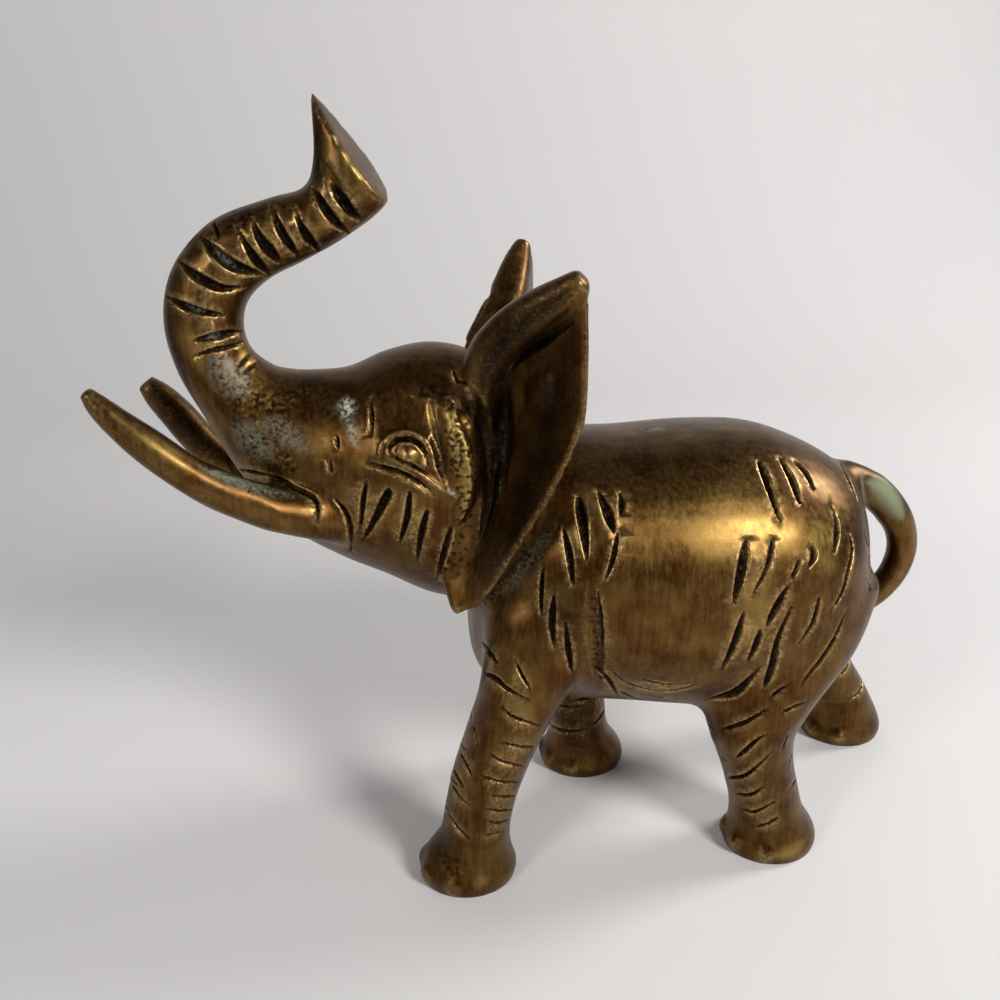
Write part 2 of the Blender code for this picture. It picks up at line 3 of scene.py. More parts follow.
import bmesh
import bpy
import numpy as np
from mathutils import Euler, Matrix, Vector, noise
from mathutils.bvhtree import BVHTree


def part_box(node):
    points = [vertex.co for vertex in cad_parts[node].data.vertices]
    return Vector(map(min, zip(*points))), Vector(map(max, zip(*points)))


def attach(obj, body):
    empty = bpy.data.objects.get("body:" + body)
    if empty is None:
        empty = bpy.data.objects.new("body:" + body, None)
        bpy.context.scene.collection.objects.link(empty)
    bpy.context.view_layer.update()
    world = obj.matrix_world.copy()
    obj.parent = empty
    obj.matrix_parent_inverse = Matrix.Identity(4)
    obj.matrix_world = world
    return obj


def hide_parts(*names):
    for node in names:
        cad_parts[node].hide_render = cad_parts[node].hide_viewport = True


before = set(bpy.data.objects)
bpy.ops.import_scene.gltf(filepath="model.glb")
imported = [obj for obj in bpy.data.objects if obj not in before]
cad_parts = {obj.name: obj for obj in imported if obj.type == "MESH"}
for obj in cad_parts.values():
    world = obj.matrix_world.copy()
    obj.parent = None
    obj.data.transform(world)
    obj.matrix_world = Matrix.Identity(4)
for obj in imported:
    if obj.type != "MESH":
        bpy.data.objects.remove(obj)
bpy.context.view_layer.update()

cadLow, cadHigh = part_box("elephant")

# The casting is drawn in units of a 180th of its height, from the soles to the trunk's tip.
# It faces -X and its left side, the one nearer to the camera, is -Y.
casting = {
    "heightInUnits": 180,
    "earWall": 3.4,
    "earEdgeShare": 0.5,         # of the wall, at the ear's free edge
    "earColumns": 18,
    "earSpread": 1.3,            # above 1, an ear stands out more towards its free edge
    "earCupLean": 0.8,           # below 1, its cup is deepest before the middle
    "earThinning": 1.5,          # above 1, its wall thins more towards its free edge
    "tailThickness": 7.8,
    "tuskThickness": 12.6,
    "footLength": 24.2,
    "footWidth": 20.8,
    "padCuts": [(5.4, 0.93), (2.6, 1), (0.6, 0.97), (-2.4, 0.84)],   # a foot's z, share of its size
    "trunkEndTurn": 14,          # degrees, to the left
    "trunkEndRings": 6,          # over which it turns
    "trunkEndDrop": 0.45,        # how much wider than an oval its low end is, and how much narrower its tip
    "coarseGrain": 0.75,         # of the skin that the forms are joined in
    "triangles": 194000,
    "quickTriangles": 90000,
    "fillets": {"barrel": 8, "head": 8, "leg": 8, "tail": 3, "tusk": 1, "ear": 2.5},
    "filletRounds": 60,
    "filletShare": 0.6,
    "skinRounds": 2,
    "fineRounds": 4,
    "edgeRounds": 9,             # more of them on the trunk's end, and on what stands out to the sides
    "trunkEndHeight": 156,
    "sideReach": 25,             # from the middle plane: the ears' edges, and the flanks by them
    "sideHeight": 70,
    "skinShare": 0.5,
    "strokeReach": 1.2,          # times a stroke's width, how far from its line it is worked
    "leastHalfWidth": 0.05,
    "strokeBluntness": 0.6,      # below 1, a stroke's ends are blunter
    "cutEdge": 1.15,             # half widths from a cut's line to where it starts
    "cutSlope": 0.75,            # half widths that its side takes up
    "endDepth": 0.35,            # of a cut's depth, at its ends
    "lipPlace": 1.25,            # half widths from a cut's line
    "lipSpread": 0.2,
    "lipHeight": 0.12,
    "lipShine": 0.5,             # how far the lips of the cuts are rubbed bright
    "pitSize": 0.8,
    "pitDepth": 0.3,
    "leastPitting": 0.1,
    "finishSpread": 0.85,        # below 1, a finish reaches beyond its stroke's width
    "curveShare": 0.6,
    "fineCurveRounds": 12,
    "broadCurveRounds": 110,
}
unit = (cadHigh.z - cadLow.z) / casting["heightInUnits"]

photoView = {
    "place": (-51.522, -213.02, 176.0),   # units
    "tilt": 68.5,                         # degrees from straight down
    "turn": -9,
    "lens": 35.28,                        # mm on a 36 mm sensor
    "sensor": 36,
    "image": 1000,                        # pixels each way
}

# Chest to rump: x, top z, bottom z, half width
barrelCuts = [
    (-18.5, 70.0, 52.0, 8.0),
    (-15.5, 84.0, 46.0, 17.0),
    (-9.0, 98.0, 42.0, 24.5),
    (2.0, 106.5, 40.5, 29.5),
    (18.0, 106.8, 38.6, 32.0),
    (38.0, 107.4, 35.4, 33.2),
    (52.0, 106.2, 34.8, 32.6),
    (62.0, 102.6, 37.0, 30.4),
    (70.0, 98.4, 40.5, 26.2),
    (75.5, 94.0, 46.0, 19.0),
    (79.0, 88.0, 53.0, 10.5),
]

# Neck to trunk's tip: upper or inner x, z; lower or outer x, z; half width
headCuts = [
    (8.0, 105.0, -8.0, 50.0, 22.0),
    (-5.5, 115.0, -15.5, 59.5, 20.5),
    (-16.0, 126.2, -21.0, 66.4, 19.8),
    (-26.0, 129.0, -30.0, 70.4, 22.4),
    (-36.0, 127.4, -38.5, 75.4, 21.5),
    (-44.0, 124.2, -48.5, 80.4, 18.8),
    (-51.0, 123.7, -59.8, 88.0, 15.5),
    (-56.5, 124.0, -69.5, 101.0, 12.4),
    (-61.0, 125.3, -76.4, 115.0, 9.6),
    (-65.0, 129.0, -81.0, 125.5, 8.4),
    (-66.1, 133.2, -82.5, 134.5, 8.3),
    (-65.0, 138.8, -80.0, 145.6, 8.2),
    (-60.4, 143.5, -71.5, 155.2, 7.9),
    (-52.0, 147.6, -58.5, 160.2, 7.2),
    (-44.5, 151.5, -51.3, 162.4, 6.9),
    (-38.4, 155.4, -49.4, 167.6, 6.9),
    (-34.2, 159.2, -49.2, 180.9, 6.4),
]

# Hip to ankle: x, y, z, half length, half width; then the middle of the sole
legs = {
    "left fore": {
        "cuts": [
            (-2.0, -16.0, 74.0, 15.0, 11.5),
            (-5.0, -19.0, 60.0, 13.0, 11.5),
            (-9.3, -20.5, 50.0, 10.2, 10.4),
            (-13.4, -21.0, 40.0, 9.2, 9.4),
            (-16.9, -21.0, 30.0, 8.7, 9.0),
            (-19.2, -20.6, 20.0, 8.3, 8.8),
            (-20.6, -20.4, 11.0, 8.8, 8.8),
        ],
        "sole": (-22.1, -20.3),
    },
    "right fore": {
        "cuts": [
            (4.0, 16.0, 74.0, 15.0, 11.5),
            (7.0, 18.0, 58.0, 13.0, 11.5),
            (9.6, 19.5, 46.0, 10.6, 10.6),
            (12.0, 20.0, 34.0, 9.0, 9.4),
            (13.8, 20.0, 22.0, 8.4, 8.8),
            (15.4, 20.0, 11.0, 8.6, 8.8),
        ],
        "sole": (16.4, 20.3),
    },
    "left hind": {
        "cuts": [
            (60.0, -14.0, 72.0, 21.0, 14.0),
            (56.0, -17.0, 56.0, 18.5, 14.5),
            (50.5, -20.0, 44.0, 13.6, 12.6),
            (48.4, -21.0, 36.0, 11.0, 11.0),
            (50.0, -21.4, 28.0, 9.4, 9.8),
            (52.6, -21.5, 19.0, 9.0, 9.2),
            (54.8, -21.5, 11.0, 9.4, 9.2),
        ],
        "sole": (56.4, -21.3),
    },
    "right hind": {
        "cuts": [
            (58.0, 14.0, 72.0, 17.0, 14.0),
            (61.0, 17.0, 56.0, 14.0, 13.2),
            (70.5, 19.5, 43.0, 11.4, 11.2),
            (83.0, 21.0, 32.0, 9.6, 9.8),
            (91.4, 21.8, 22.0, 8.6, 8.9),
            (97.0, 22.0, 12.0, 9.0, 8.8),
        ],
        "sole": (98.2, 22.4),
    },
}

# Lobe to tip: z; x and reach of the front edge, x and reach of the back edge, cup, front roll's radius
leftEarRows = [
    (73.8, -23.0, 22.6, -19.6, 24.4, 0.2, 1.7),
    (76.4, -25.0, 21.2, -18.4, 25.6, 0.8, 1.9),
    (80.6, -25.5, 19.0, -16.9, 27.3, 1.6, 2.0),
    (89.0, -23.4, 17.0, -13.4, 30.0, 3.4, 1.8),
    (99.0, -20.6, 16.5, -8.8, 33.2, 6.0, 1.6),
    (109.0, -18.8, 16.5, -4.4, 35.6, 7.6, 1.6),
    (116.0, -18.2, 17.6, -1.9, 36.8, 8.2, 2.0),
    (121.6, -18.4, 20.2, -0.3, 37.4, 8.2, 3.4),
    (127.0, -18.4, 22.6, 0.0, 37.6, 7.8, 4.2),
    (132.0, -17.0, 25.2, 0.0, 37.6, 6.8, 4.4),
    (137.0, -13.8, 28.6, -0.1, 37.5, 5.2, 4.3),
    (142.0, -8.8, 32.4, -0.5, 37.2, 3.2, 3.8),
    (145.2, -4.3, 34.8, -0.4, 36.9, 1.2, 3.2),
    (147.8, -0.9, 36.2, -0.3, 36.6, 0.2, 2.5),
]
rightEarRows = [
    (74.0, -21.8, 21.6, -19.8, 23.2, 0.2, 2.0),
    (82.0, -23.0, 18.0, -16.2, 27.0, 1.5, 2.0),
    (92.0, -20.5, 17.0, -10.6, 31.0, 3.4, 1.8),
    (104.0, -17.2, 16.5, -4.0, 34.5, 6.0, 1.6),
    (114.0, -15.4, 17.4, 0.0, 35.8, 7.4, 2.2),
    (122.0, -13.8, 20.0, 1.8, 36.2, 7.4, 3.4),
    (129.0, -9.6, 23.6, 2.6, 36.4, 6.2, 3.6),
    (136.0, -5.4, 28.5, 2.8, 36.2, 4.4, 3.2),
    (142.0, -2.0, 32.5, 2.4, 35.8, 2.0, 2.8),
    (146.2, 0.7, 34.9, 1.4, 35.3, 0.4, 2.2),
]

# Socket to tip: x, y, z, share of the full thickness
leftTuskLine = [
    (-46.0, -12.8, 92.4, 0.82),
    (-55.0, -15.8, 95.9, 0.84),
    (-61.5, -17.0, 98.5, 0.80),
    (-67.3, -17.8, 101.3, 0.75),
    (-73.0, -18.8, 104.4, 0.68),
    (-79.1, -19.4, 109.0, 0.62),
    (-85.0, -19.0, 114.1, 0.60),
    (-90.0, -18.4, 118.7, 0.50),
    (-93.8, -18.0, 122.8, 0.38),
    (-95.9, -17.8, 125.7, 0.24),
]
rightTuskLine = [
    (-46.0, 9.0, 89.5, 0.70),
    (-62.0, 12.6, 90.6, 0.72),
    (-72.0, 14.0, 96.2, 0.69),
    (-79.2, 15.0, 103.2, 0.66),
    (-85.2, 15.2, 111.6, 0.62),
    (-89.0, 15.2, 116.4, 0.50),
    (-91.0, 15.2, 118.8, 0.34),
]

# The loop of the tail: x, z, share of its thickness
tailLine = [
    (74.0, 92.5, 1.30),
    (82.0, 88.8, 1.25),
    (88.6, 83.6, 1.16),
    (93.4, 77.2, 1.02),
    (95.0, 70.6, 0.96),
    (93.6, 64.2, 0.92),
    (89.6, 58.6, 0.86),
    (84.4, 55.2, 0.80),
    (79.0, 53.2, 0.72),
]


def spline(rows, steps):
    # a smooth curve through rows of numbers, so many points to each span
    rows = np.array(rows, float)
    gaps = np.linalg.norm(np.diff(rows, axis=0), axis=1)
    slopes = np.diff(rows, axis=0) / gaps[:, None]
    tangents = np.empty_like(rows)
    tangents[0], tangents[-1] = slopes[0], slopes[-1]
    before, after = gaps[:-1, None], gaps[1:, None]
    tangents[1:-1] = (slopes[:-1] * after + slopes[1:] * before) / (before + after)
    points = []
    for index, gap in enumerate(gaps):
        for t in np.arange(steps) / steps:
            points.append(rows[index] * (1 + 2 * t) * (1 - t) ** 2
                          + rows[index + 1] * t * t * (3 - 2 * t)
                          + tangents[index] * gap * t * (1 - t) ** 2
                          - tangents[index + 1] * gap * t * t * (1 - t))
    points.append(rows[-1])
    return np.array(points)


def addObject(name, mesh):
    data = bpy.data.meshes.new(name)
    mesh.to_mesh(data)
    mesh.free()
    body = bpy.data.objects.new(name, data)
    bpy.context.collection.objects.link(body)
    return body


def closedRings(name, rings):
    rings = [[Vector(point) for point in ring] for ring in rings]
    mesh = bmesh.new()
    loops = [[mesh.verts.new(point) for point in ring] for ring in rings]
    count = len(loops[0])
    for low, high in zip(loops, loops[1:]):
        for index in range(count):
            after = (index + 1) % count
            mesh.faces.new((low[index], low[after], high[after], high[index]))
    mesh.faces.new(loops[0])
    mesh.faces.new(loops[-1])
    bmesh.ops.triangulate(mesh, faces=[face for face in mesh.faces if len(face.verts) > 4])
    bmesh.ops.recalc_face_normals(mesh, faces=mesh.faces)
    return addObject(name, mesh)


def oval(centre, across, along, squareness=2.0, count=48):
    ring = []
    for index in range(count):
        angle = math.tau * index / count
        sine, cosine = math.sin(angle), math.cos(angle)
        shareAcross = math.copysign(abs(cosine) ** (2 / squareness), cosine)
        shareAlong = math.copysign(abs(sine) ** (2 / squareness), sine)
        ring.append(centre + across * shareAcross + along * shareAlong)
    return ring


def makeBarrel():
    rings = []
    for x, top, bottom, halfWidth in spline(barrelCuts, 6):
        centre = Vector((x, 0, (top + bottom) / 2))
        rings.append(oval(centre, Vector((0, halfWidth, 0)), Vector((0, 0, (top - bottom) / 2)), 2.1))
    return closedRings("barrel", rings)


def makeHead():
    # neck, head and trunk in one; the trunk's flat end is drop-shaped, and turned a little to the left
    rings = []
    for upperX, upperZ, lowerX, lowerZ, halfWidth in spline(headCuts, 6):
        upper, lower = Vector((upperX, 0, upperZ)), Vector((lowerX, 0, lowerZ))
        rings.append(oval((upper + lower) / 2, Vector((0, halfWidth, 0)), (upper - lower) / 2))
    lowEnd, tip = rings[-1][12].copy(), rings[-1][36].copy()
    edge = (lowEnd - tip).normalized()
    outward = edge.cross(Vector((0, 1, 0)))
    turned = rings[-casting["trunkEndRings"]:]
    for step, ring in enumerate(turned):
        share = (step + 1) / len(turned)
        turn = math.tan(math.radians(casting["trunkEndTurn"])) * share
        middle, halfLength = (ring[12] + ring[36]) / 2, (ring[12] - ring[36]).length / 2
        for point in ring:
            lowness = (point - middle).dot(edge) / halfLength
            point.y *= 1 + casting["trunkEndDrop"] * lowness * share
            point += outward * point.y * turn
    return closedRings("head", rings)


def legStations(leg):
    # a leg flares into a round-edged pad and runs on below the ground, where the sole is cut
    soleX, soleY = leg["sole"]
    halfLength, halfWidth = casting["footLength"] / 2, casting["footWidth"] / 2
    return leg["cuts"] + [(soleX, soleY, z, halfLength * share, halfWidth * share)
                          for z, share in casting["padCuts"]]


def makeLeg(name):
    rings = []
    for x, y, z, halfLength, halfWidth in spline(legStations(legs[name]), 6):
        rings.append(oval(Vector((x, y, z)), Vector((halfLength, 0, 0)), Vector((0, halfWidth, 0))))
    return closedRings(name + " leg", rings)


def makeRod(name, points, radii, count=28):
    rings = []
    points = [Vector(point) for point in points]
    for index, point in enumerate(points):
        before = points[max(index - 1, 0)]
        after = points[min(index + 1, len(points) - 1)]
        along = (after - before).normalized()
        across = along.cross(Vector((0, 1, 0))).normalized()
        upright = across.cross(along).normalized()
        rings.append(oval(point, across * radii[index], upright * radii[index], count=count))
    return closedRings(name, rings)


def makeTusk(name, line):
    curve = spline(line, 5)
    return makeRod(name, curve[:, :3], curve[:, 3] * casting["tuskThickness"] / 2)


def makeTail():
    curve = spline(tailLine, 5)
    points = np.column_stack([curve[:, 0], np.zeros(len(curve)), curve[:, 1]])
    return makeRod("tail", points, curve[:, 2] * casting["tailThickness"] / 2)


def makeEar(name, table, side):
    # a cupped leaf of metal with a rolled front edge, swept back from the temple
    rows, columns = spline(table, 5), casting["earColumns"]
    mesh = bmesh.new()
    weights = mesh.verts.layers.deform.new()
    grid = []
    for z, frontX, frontReach, backX, backReach, cup, roll in rows:
        line = []
        for column in range(columns + 1):
            share = column / columns
            reach = frontReach + (backReach - frontReach) * share ** casting["earSpread"]
            reach -= cup * math.sin(math.pi * share ** casting["earCupLean"])
            vertex = mesh.verts.new((frontX + (backX - frontX) * share, side * reach, z))
            vertex[weights][0] = 1 - share ** casting["earThinning"]
            line.append(vertex)
        grid.append(line)
    for low, high in zip(grid, grid[1:]):
        for index in range(columns):
            mesh.faces.new((low[index], low[index + 1], high[index + 1], high[index]))
    bmesh.ops.recalc_face_normals(mesh, faces=mesh.faces)
    leaf = addObject(name, mesh)
    leaf.vertex_groups.new(name="thick")
    wall = leaf.modifiers.new("wall", "SOLIDIFY")
    wall.vertex_group = "thick"
    wall.thickness_vertex_group = casting["earEdgeShare"]
    wall.thickness = casting["earWall"]
    wall.offset = 0
    wall.use_even_offset = False
    applyModifiers(leaf)
    edge = [(row[1], side * row[2], row[0]) for row in rows]
    return [leaf, makeRod(name + " roll", edge, rows[:, 6], 20)]


def applyModifiers(body):
    evaluated = body.evaluated_get(bpy.context.evaluated_depsgraph_get())
    data = bpy.data.meshes.new_from_object(evaluated)
    body.modifiers.clear()
    body.data = data


def positions(data):
    values = np.empty(len(data.vertices) * 3, np.float32)
    data.vertices.foreach_get("co", values)
    return values.reshape(-1, 3).astype(float)


def normals(data):
    values = np.empty(len(data.vertices) * 3, np.float32)
    data.vertex_normals.foreach_get("vector", values)
    return values.reshape(-1, 3).astype(float)


def setPositions(data, points):
    data.vertices.foreach_set("co", points.astype(np.float32).ravel())
    data.update()


def relax(data, points, weights, rounds):
    # each point moves towards the middle of its neighbours, as far as its weight says
    pairs = np.empty(len(data.edges) * 2, np.int32)
    data.edges.foreach_get("vertices", pairs)
    first, second = pairs.reshape(-1, 2).T
    count = len(points)
    degree = np.bincount(first, minlength=count) + np.bincount(second, minlength=count)
    for _ in range(rounds):
        total = np.empty_like(points)
        for axis in range(points.shape[1]):
            total[:, axis] = (np.bincount(first, points[second, axis], count)
                              + np.bincount(second, points[first, axis], count))
        points = points + (total / degree[:, None] - points) * weights[:, None]
    return points


def seamWeights(points, groups):
    # 1 on the meeting of two forms, 0 beyond its fillet
    nearest = np.full((len(points), 2), np.inf)
    for bodies, form in groups:
        fillet = casting["fillets"][form]
        mesh = bmesh.new()
        for body in bodies:
            mesh.from_mesh(body.data)
        tree = BVHTree.FromBMesh(mesh)
        low = np.min([vertex.co for vertex in mesh.verts], axis=0) - fillet
        high = np.max([vertex.co for vertex in mesh.verts], axis=0) + fillet
        mesh.free()
        for index in np.flatnonzero(np.all((points > low) & (points < high), axis=1)):
            distance = tree.find_nearest(points[index], fillet)[3]
            if distance is not None:
                nearest[index] = sorted((nearest[index, 0], nearest[index, 1], distance / fillet))[:2]
    return np.clip(1 - nearest[:, 1], 0, 1) ** 0.5


def makeSkin():
    groups = [([makeBarrel()], "barrel"), ([makeHead()], "head"), ([makeTail()], "tail")]
    groups += [([makeLeg(name)], "leg") for name in legs]
    groups += [([makeTusk("left tusk", leftTuskLine)], "tusk"),
               ([makeTusk("right tusk", rightTuskLine)], "tusk")]
    groups += [(makeEar("left ear", leftEarRows, -1), "ear"), (makeEar("right ear", rightEarRows, 1), "ear")]
    bodies = [body for members, form in groups for body in members]
    mesh = bmesh.new()
    for body in bodies:
        mesh.from_mesh(body.data)
    skin = addObject("elephant_casting", mesh)
    remesh = skin.modifiers.new("one skin", "REMESH")
    remesh.mode = "VOXEL"
    remesh.voxel_size = casting["coarseGrain"]
    remesh.adaptivity = 0
    applyModifiers(skin)
    points = positions(skin.data)
    weights = seamWeights(points, groups) * casting["filletShare"]
    points = relax(skin.data, points, weights, casting["filletRounds"])
    points = relax(skin.data, points, np.full(len(points), casting["skinShare"]), casting["skinRounds"])
    setPositions(skin.data, points)
    for body in bodies:
        bpy.data.objects.remove(body)
    return skin


def alongStroke(points, outward, path, facing, reach):
    # for the points near a path that face its way: which they are, how far off, and how far along
    near = np.flatnonzero(np.all((points > path.min(axis=0) - reach) & (points < path.max(axis=0) + reach),
                                 axis=1))
    near = near[outward[near] @ facing > 0]
    chosen = points[near]
    best = np.full(len(chosen), np.inf)
    along = np.zeros(len(chosen))
    spans = len(path) - 1
    for index in range(spans):
        run = path[index + 1] - path[index]
        share = np.clip((chosen - path[index]) @ run / max(run @ run, 1e-9), 0, 1)
        distance = np.linalg.norm(chosen - path[index] - share[:, None] * run, axis=1)
        closer = distance < best
        best[closer] = distance[closer]
        along[closer] = (index + share[closer]) / spans
    return near, best, along


print("casting: joining the forms in one skin")
skin = makeSkin()

print("casting: placing it in the frame")
points = positions(skin.data)
aim = (np.array(cadLow) + np.array(cadHigh)) / 2 / unit
shift = (points.min(axis=0) + points.max(axis=0)) / 2 - aim
shift[2] = 0
points -= shift
setPositions(skin.data, points)
middlePlane = -shift[1]      # y of the plane that halves the body

print("casting: refining the skin")
finer = skin.modifiers.new("finer skin", "SUBSURF")
finer.levels = finer.render_levels = 1
applyModifiers(skin)
points = positions(skin.data)
points = relax(skin.data, points, np.full(len(points), casting["skinShare"]), casting["fineRounds"])
atSides = np.abs(points[:, 1] - middlePlane) > casting["sideReach"]
smoothed = (points[:, 2] > casting["trunkEndHeight"]) | (atSides & (points[:, 2] > casting["sideHeight"]))
points = relax(skin.data, points, smoothed * casting["skinShare"], casting["edgeRounds"])
setPositions(skin.data, points)

eye = Vector(photoView["place"])
eyeAngles = Euler((math.radians(photoView["tilt"]), 0, math.radians(photoView["turn"])))
eyeTurn = eyeAngles.to_matrix()


def throughPixel(tree, pixelX, pixelY):
    # where the sight line through a pixel of the photo meets the skin, and the way it faces there
    half = photoView["image"] / 2
    focal = photoView["image"] * photoView["lens"] / photoView["sensor"]
    sight = eyeTurn @ Vector((pixelX - half, half - pixelY, -focal))
    return tree.ray_cast(eye, sight.normalized())[:2]


# The work on the near side, each stroke by its places in the photo's pixels, start to end.
# Before them: width and depth in units, and how far along it is widest. First the broad hollows,
# and the swellings, whose depth is below zero.
broadStrokes = [
    (15.0, 0.9, 0.5, (378, 436), (404, 420), (432, 432)),
    (9.0, -2.4, 0.4, (447, 396), (453, 420), (461, 447), (467, 472), (467, 495), (460, 522)),
    (4.2, 1.0, 0.4, (430, 400), (438, 425), (444, 455), (449, 486)),
    (5.0, 2.2, 0.45, (452, 370), (470, 394), (483, 424), (489, 452), (491, 482), (487, 512), (478, 545)),
    (6.0, 1.6, 0.5, (507, 388), (504, 420), (502, 455), (503, 492)),
    (3.6, 1.1, 0.5, (508, 372), (522, 353), (546, 338), (574, 320)),
    (9.0, -1.0, 0.5, (528, 414), (540, 394), (552, 372)),
    (5.0, 0.8, 0.5, (591, 582), (594, 615), (597, 652), (600, 690)),
    (9.0, 0.6, 0.5, (702, 612), (698, 650), (694, 684)),
    (4.2, 1.1, 0.5, (322, 160), (338, 190), (352, 212)),
]
flankStrokes = [
    (2.5, 1.5, 0.6, (597, 490), (607, 510), (614, 532)),
    (1.5, 1.0, 0.5, (620, 492), (622, 503), (620, 515)),
    (2.3, 1.4, 0.35, (578, 496), (583, 525), (587, 562)),
    (1.7, 1.1, 0.5, (562, 526), (569, 555), (573, 588)),
    (1.2, 0.9, 0.4, (618, 533), (613, 560), (604, 584)),
    (1.2, 1.0, 0.5, (543, 566), (541, 590), (541, 618)),
    (1.7, 1.1, 0.5, (554, 593), (552, 620), (555, 650)),
    (1.5, 1.0, 0.6, (565, 618), (568, 645), (573, 673)),
    (1.9, 1.4, 0.4, (758, 459), (769, 487), (780, 522)),
    (1.8, 1.3, 0.5, (779, 457), (791, 478), (800, 505)),
    (1.9, 0.9, 0.3, (795, 461), (807, 475), (814, 491)),
    (1.6, 1.1, 0.6, (832, 503), (837, 527), (834, 555)),
    (1.7, 1.2, 0.5, (812, 545), (814, 555), (809, 567)),
    (2.4, 1.2, 0.5, (747, 537), (742, 570), (734, 606)),
    (1.2, 0.9, 0.4, (774, 536), (768, 565), (750, 601)),
    (1.1, 0.8, 0.5, (800, 558), (796, 570), (791, 580)),
    (2.2, 1.2, 0.65, (791, 582), (781, 600), (767, 627)),
    (1.8, 1.1, 0.4, (761, 630), (756, 646), (748, 662)),
    (1.3, 1.0, 0.4, (820, 596), (814, 620), (798, 646)),
    (2.0, 1.2, 0.6, (794, 602), (778, 640), (772, 668), (763, 690)),
    (1.9, 1.2, 0.45, (745, 611), (736, 640), (722, 671)),
    (2.4, 1.2, 0.55, (762, 666), (735, 692), (706, 700)),
    (1.4, 0.7, 0.5, (846, 612), (831, 645), (800, 686)),
    (1.0, 0.5, 0.5, (864, 532), (871, 560), (869, 590)),
    (0.9, 1.0, 0.4, (641, 679), (660, 684), (682, 684)),
    (1.0, 1.1, 0.7, (604, 661), (621, 679), (650, 690), (678, 690), (699, 684)),
    (0.8, 0.8, 0.5, (646, 695), (667, 698), (689, 698)),
    (1.2, 0.9, 0.5, (595, 666), (606, 677), (618, 695)),
    (1.2, 0.7, 0.4, (620, 691), (632, 697), (645, 700)),
    (1.4, 0.8, 0.5, (848, 530), (852, 546), (848, 572), (841, 595), (827, 616)),
    (1.0, 0.5, 0.5, (788, 685), (779, 691), (770, 698)),
    (1.0, 0.5, 0.5, (805, 703), (792, 708), (780, 714)),
    (1.4, 0.7, 0.5, (840, 463), (849, 481), (858, 502)),
    (1.0, 0.6, 0.5, (598, 590), (601, 622), (602, 655)),
]
faceStrokes = [
    (1.2, 1.0, 0.5, (366, 480), (363, 500), (360, 530)),
    (2.0, 1.2, 0.25, (390, 489), (378, 513), (363, 541)),
    (1.5, 1.2, 0.4, (410, 491), (407, 518), (399, 545)),
    (1.5, 1.2, 0.4, (428, 509), (422, 532), (417, 562)),
    (1.6, 0.9, 0.4, (452, 527), (446, 548), (436, 580)),
    (1.0, 0.7, 0.5, (333, 497), (345, 511), (351, 528), (351, 552)),
    (1.3, 0.9, 0.5, (390, 458), (389, 449), (395, 441), (408, 439), (418, 443), (425, 452), (428, 466)),
    (1.1, 0.8, 0.5, (390, 455), (402, 461), (414, 467), (428, 474)),
    (1.0, 0.7, 0.5, (368, 462), (384, 467), (400, 472), (416, 480), (432, 491)),
    (1.5, 1.2, 0.5, (430, 436), (436, 452), (440, 468), (446, 484)),
    (0.9, 0.8, 0.5, (370, 398), (372, 416), (371, 436)),
    (0.8, 0.6, 0.5, (337, 434), (338, 450)),
    (0.8, 0.6, 0.5, (330, 458), (331, 475)),
    (1.4, 1.0, 0.5, (232, 468), (265, 475), (298, 489), (316, 500), (319, 526)),
]
# Thin raised edges: the lids, the fold under them and old scratches
faceRidges = [
    (1.9, 0.5, 0.35, (378, 460), (380, 449), (386, 439), (397, 433), (409, 432), (420, 436), (429, 446),
     (434, 460), (438, 476)),
    (1.4, 0.5, 0.7, (376, 457), (389, 459), (403, 465), (418, 472), (430, 481), (443, 490), (458, 499)),
    (1.2, 0.4, 0.6, (356, 463), (366, 468), (384, 472), (400, 479), (415, 486), (427, 494), (436, 498)),
    (0.9, 0.4, 0.5, (366, 396), (368, 414), (367, 434)),
    (0.9, 0.4, 0.5, (333, 436), (334, 449)),
    (0.9, 0.4, 0.5, (326, 460), (327, 474)),
    (1.0, 0.4, 0.5, (328, 496), (340, 509), (346, 526), (347, 550)),
    (0.9, 0.45, 0.5, (399, 446), (407, 443), (415, 446), (421, 453)),
]
# Low round bosses: place, radius, height
faceBosses = [((408, 455), 2.5, 0.8)]
trunkStrokes = [
    (1.8, 1.2, 0.5, (166, 296), (182, 305), (198, 311), (226, 316)),
    (2.2, 1.2, 0.5, (178, 260), (192, 273), (206, 282), (220, 288), (246, 288)),
    (2.7, 1.4, 0.5, (200, 236), (213, 250), (229, 263), (246, 271), (264, 276)),
    (0.9, 0.8, 0.5, (213, 222), (216, 229), (218, 238)),
    (1.9, 1.3, 0.75, (233, 209), (238, 230), (247, 246), (256, 260), (270, 275)),
    (2.4, 1.4, 0.6, (251, 217), (260, 238), (270, 251), (281, 264)),
    (1.9, 1.3, 0.6, (270, 202), (277, 222), (286, 239), (299, 257)),
    (1.9, 1.3, 0.7, (293, 200), (299, 221), (307, 236), (319, 251)),
    (2.0, 1.3, 0.5, (311, 185), (323, 205), (335, 221), (349, 234)),
    (2.2, 1.4, 0.5, (333, 184), (341, 198), (350, 211), (362, 221)),
    (1.9, 0.8, 0.5, (192, 341), (209, 338), (226, 334), (242, 331)),
    (1.0, 0.7, 0.5, (190, 358), (210, 351), (228, 347), (244, 342)),
    (0.8, 0.5, 0.5, (235, 371), (244, 361), (252, 352)),
    (0.8, 0.5, 0.5, (242, 374), (250, 368), (257, 361)),
]
